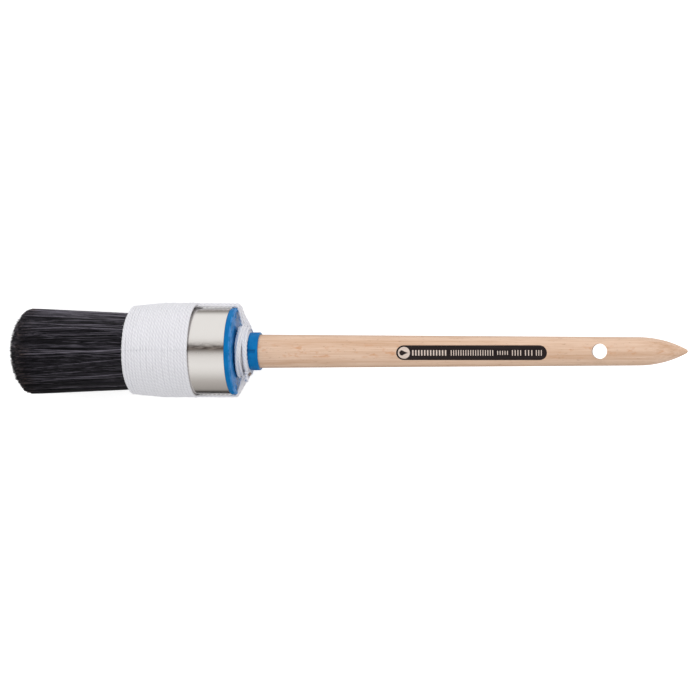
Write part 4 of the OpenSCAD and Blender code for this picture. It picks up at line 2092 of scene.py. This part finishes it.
    def build(self, effects: Effects) -> list:
        """Builds and dresses the panel and its marks.

        Args:
            effects: The shared shader groups.

        Returns:
            The pieces.
        """
        mid = self.point_station - self.from_point
        start, end = mid - self.length / 2, mid + self.length / 2
        panel = self.join("printed_panel", [self.lozenge(start, end, self.film)])
        over = 2 * self.film
        sign = start + self.sign_station
        parts = [self.disc(sign, self.disc_radius, over)]
        for row in self.rows:
            pitch = (row.end - row.start) / (row.bars - 1 + row.width_share)
            for number in range(row.bars):
                place = start + row.start + number * pitch
                parts.append(self.bar(place, pitch * row.width_share, row.half_height, over))
        marks = self.join("printed_marks", parts)
        drop_part = self.drop(sign - self.drop_shift, self.drop_radius, over + self.film)
        drop = self.join("printed_drop", [drop_part])
        dress(panel, InkFinish(InkShade.BLACK).make(effects))
        dress(marks, InkFinish(InkShade.PALE).make(effects))
        dress(drop, panel.data.materials[0])
        pieces = [panel, marks, drop]
        for piece in pieces:
            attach(piece, "root")
        return pieces


# ---- Studio -----------------------------------------------------------------------------------


@dataclass
class Studio:
    """White floor, soft light and the camera.

    Args:
        axis: The brush's axis.
        look_x: X of the point that the camera looks at.
        distance: Distance of the camera from that point.
        lean: Angle by which the camera leans towards the handle.
        side_shift: Y of the point that it looks at.
        lens: Focal length in millimetres, as the sensor's width is.
        floor_lift: Glow that keeps the floor white to the camera.
        sweep: Brightness of the pale sweep that stands beyond the handle.
        tent: Pairs of an angle round the brush, in degrees from the top, and the tent's brightness there.
    """

    axis: Axis
    look_x: float
    distance: float = 0.7925
    lean: float = math.radians(9.1)
    side_shift: float = 0.52 * MM
    lens: float = 101.3142857
    sensor: float = 36.0
    ambient: float = 0.80
    floor_lift: float = 0.58
    sweep: float = 0.75
    tent: tuple = (
        (-180, 0.04), (-150, 0.0), (-137, 0.04), (-125, 0.38), (-99, 0.48), (-84, 0.56), (-57, 0.88),
        (-40, 0.98), (-23, 0.93), (-10, 0.84), (0, 0.74), (10, 0.72), (20, 0.80), (30, 0.93), (42, 1.0),
        (108, 1.0), (118, 0.90), (132, 0.28), (150, 0.34), (180, 0.16),
    )

    def build_camera(self) -> None:
        """A long lens over the brush, leaning a little towards the handle."""
        data = bpy.data.cameras.new("camera")
        data.sensor_width = self.sensor
        data.lens = self.lens
        data.clip_start, data.clip_end = 0.01, 50.0
        camera = bpy.data.objects.new("camera", data)
        bpy.context.scene.collection.objects.link(camera)
        target = Vector((self.look_x, self.side_shift, self.axis.height))
        back = Vector((math.sin(self.lean), 0.0, math.cos(self.lean)))
        up = Vector((0.0, 1.0, 0.0))
        turned = Matrix((up.cross(back), up, back)).transposed().to_4x4()
        camera.matrix_world = Matrix.Translation(target + back * self.distance) @ turned
        bpy.context.scene.camera = camera

    def build_floor(self) -> None:
        """A pale floor that shows white to the camera and keeps the brush's shadow."""
        size = 6.0
        corners = [(-size, -size, 0), (size, -size, 0), (size, size, 0), (-size, size, 0)]
        faces = [np.array([[0, 1, 2, 3]])]
        floor = make_object("studio_floor", np.array(corners, dtype=float), faces, {}, {}, smooth=False)
        material, g, shader = new_material("white_floor")
        paper = g.noise(g.coords(), 30.0, 2.0)
        g.feed(shader.inputs["Base Color"], g.ramp(paper, [(0.3, grey(0.80)), (0.7, grey(0.82))]))
        shader.inputs["Roughness"].default_value = 0.9
        shader.inputs["Specular IOR Level"].default_value = 0.1
        path = g.add("LightPath")
        seen = g.math("ADD", path.outputs["Is Camera Ray"], path.outputs["Is Glossy Ray"])
        seen = g.math("ADD", seen, path.outputs["Is Transmission Ray"], clamp=True)
        glow = g.add("Emission")
        g.feed(glow.inputs["Strength"], g.math("MULTIPLY", seen, self.floor_lift))
        both = g.add("AddShader")
        g.feed(both.inputs[0], shader.outputs[0])
        g.feed(both.inputs[1], glow.outputs[0])
        out = next(n for n in material.node_tree.nodes if n.type == "OUTPUT_MATERIAL")
        g.feed(out.inputs["Surface"], both.outputs[0])
        floor.data.materials.append(material)
        floor.visible_glossy = False

    def build_world(self) -> None:
        """Even soft light, white behind the floor, and a light tent for reflections.

        The tent is white on the left and over the brush, with a dim slot for the
        camera at the top, and it falls off on the right side and below. Towards the
        handle it opens on a pale sweep, which gives the cap's back its shine.
        """
        world = bpy.data.worlds.new("studio_world")
        world.use_nodes = True
        bpy.context.scene.world = world
        g = Graph(world.node_tree)
        along, across, up = g.parts(g.add("TexCoord").outputs["Generated"])
        place = g.math("ADD", g.math("DIVIDE", g.math("ARCTAN2", across, up), TURN), 0.5)
        stops = []
        for degrees, level in self.tent:
            warm = (level, level * (0.92 + 0.08 * level), level * (0.85 + 0.15 * level), 1.0)
            stops.append((0.5 + degrees / 360, warm))
        behind = g.math("MULTIPLY", along, 6.0, clamp=True)
        tent = g.add("Background")
        sides = g.ramp(place, stops)
        g.feed(tent.inputs["Color"], g.mix(g.math("MULTIPLY", behind, self.sweep), sides, WHITE))
        path = g.add("LightPath")
        light = g.add("Background")
        light.inputs["Color"].default_value = WHITE
        light.inputs["Strength"].default_value = self.ambient
        white = g.add("Background")
        white.inputs["Color"].default_value = WHITE
        shine = g.add("MixShader")
        g.feed(shine.inputs[0], path.outputs["Is Glossy Ray"])
        g.feed(shine.inputs[1], light.outputs[0])
        g.feed(shine.inputs[2], tent.outputs[0])
        mix = g.add("MixShader")
        seen = g.math("ADD", path.outputs["Is Camera Ray"], path.outputs["Is Transmission Ray"])
        g.feed(mix.inputs[0], seen)
        g.feed(mix.inputs[1], shine.outputs[0])
        g.feed(mix.inputs[2], white.outputs[0])
        out = g.add("OutputWorld")
        g.feed(out.inputs["Surface"], mix.outputs[0])

    def add_lamp(self, name: str, place: tuple, size: tuple, power: float) -> None:
        """A rectangular soft white lamp aimed at the brush.

        Args:
            name: Name of the lamp.
            place: Where it stands.
            size: Its width and height.
            power: Its power in watts.
        """
        data = bpy.data.lights.new(name, "AREA")
        data.shape = "RECTANGLE"
        data.size, data.size_y = size
        data.energy = power
        lamp = bpy.data.objects.new(name, data)
        bpy.context.scene.collection.objects.link(lamp)
        lamp.location = place
        lamp.visible_glossy = False
        aim = Vector((self.look_x, 0.0, self.axis.height)) - Vector(place)
        lamp.rotation_euler = aim.to_track_quat("-Z", "Y").to_euler()

    def build_lamps(self) -> None:
        """A wide key lamp on the brush's left side and a weaker fill over it."""
        self.add_lamp("key_lamp", (0.0, 0.80, 0.75), (1.4, 0.8), 3.6)
        self.add_lamp("fill_lamp", (-0.3, -0.3, 1.1), (0.8, 0.5), 0.5)

    def build(self) -> None:
        """Builds the camera, floor, world and lamps."""
        self.build_camera()
        self.build_floor()
        self.build_world()
        self.build_lamps()
        bpy.context.scene.view_settings.view_transform = "Standard"


# ---- Assembly -----------------------------------------------------------------------------------


def span(node: str, dimension: int) -> tuple:
    """Lowest and highest coordinate of a CAD node in one dimension."""
    low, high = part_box(node)
    return low[dimension], high[dimension]


def report(verb: str, pieces: list) -> None:
    """Logs each piece with what was done to it and its number of faces."""
    for piece in pieces:
        LOG.info("%s %s with %d faces", verb, piece.name, len(piece.data.polygons))


def main() -> None:
    """Builds the studio and the brush's sub-assemblies."""
    logging.basicConfig(level=logging.INFO, format="%(name)s: %(message)s")
    tip_x, root_x = span("bristle_pack", 0)
    ferrule_low, ferrule_high = span("ferrule", 2)
    axis = Axis(tip_x, (ferrule_low + ferrule_high) / 2)
    Studio(axis, tip_x + LOOK_STATION).build()
    effects = Effects()

    pack_low, pack_high = span("bristle_pack", 1)
    bundle = BristleBundle(
        axis=axis,
        full_radius=(pack_high - pack_low) / 2 - STRAY_ROOM,
        root_station=axis.station(root_x) - HIDDEN_ROOT,
    )
    report("built", bundle.build(effects))

    outer_low, outer_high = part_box("binding_outer_layer")
    base_low, base_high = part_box("binding_base_layer")
    cap_low, cap_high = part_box("end_cap")
    rim_radius = (cap_high[1] - cap_low[1]) / 2
    binding = CordBinding(
        axis=axis,
        wound=Axis(axis.tip_x, axis.height, WINDING_SHIFT),
        start=axis.station(base_low[0]),
        end=axis.station(outer_high[0]),
        outer_radius=(outer_high[1] - outer_low[1]) / 2,
        base_end=axis.station(base_high[0]),
        rim_radius=rim_radius,
        rim_end=axis.station(span("neck_lashing", 0)[0]) - SNUG,
        neck_radius=NECK_RADIUS,
        collar_start=axis.station(span("collar_lashing", 0)[1]) + 2 * SNUG,
    )
    report("built", binding.build(effects))

    collar_station = axis.station(cap_high[0])
    cap = EndCap(axis, axis.station(cap_low[0]), collar_station, rim_radius)
    report("dressed", [cap.build(effects), *HardPieces(axis).build(effects)])

    handle_low, handle_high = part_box("handle")
    panel = PrintedPanel(
        axis=axis,
        point_station=axis.station(handle_high[0]),
        collar_station=collar_station,
        handle_radius=(handle_high[1] - handle_low[1]) / 2,
        end_radius=HANDLE_END_RADIUS,
    )
    report("built", panel.build(effects))


if __name__ == "__main__":
    main()
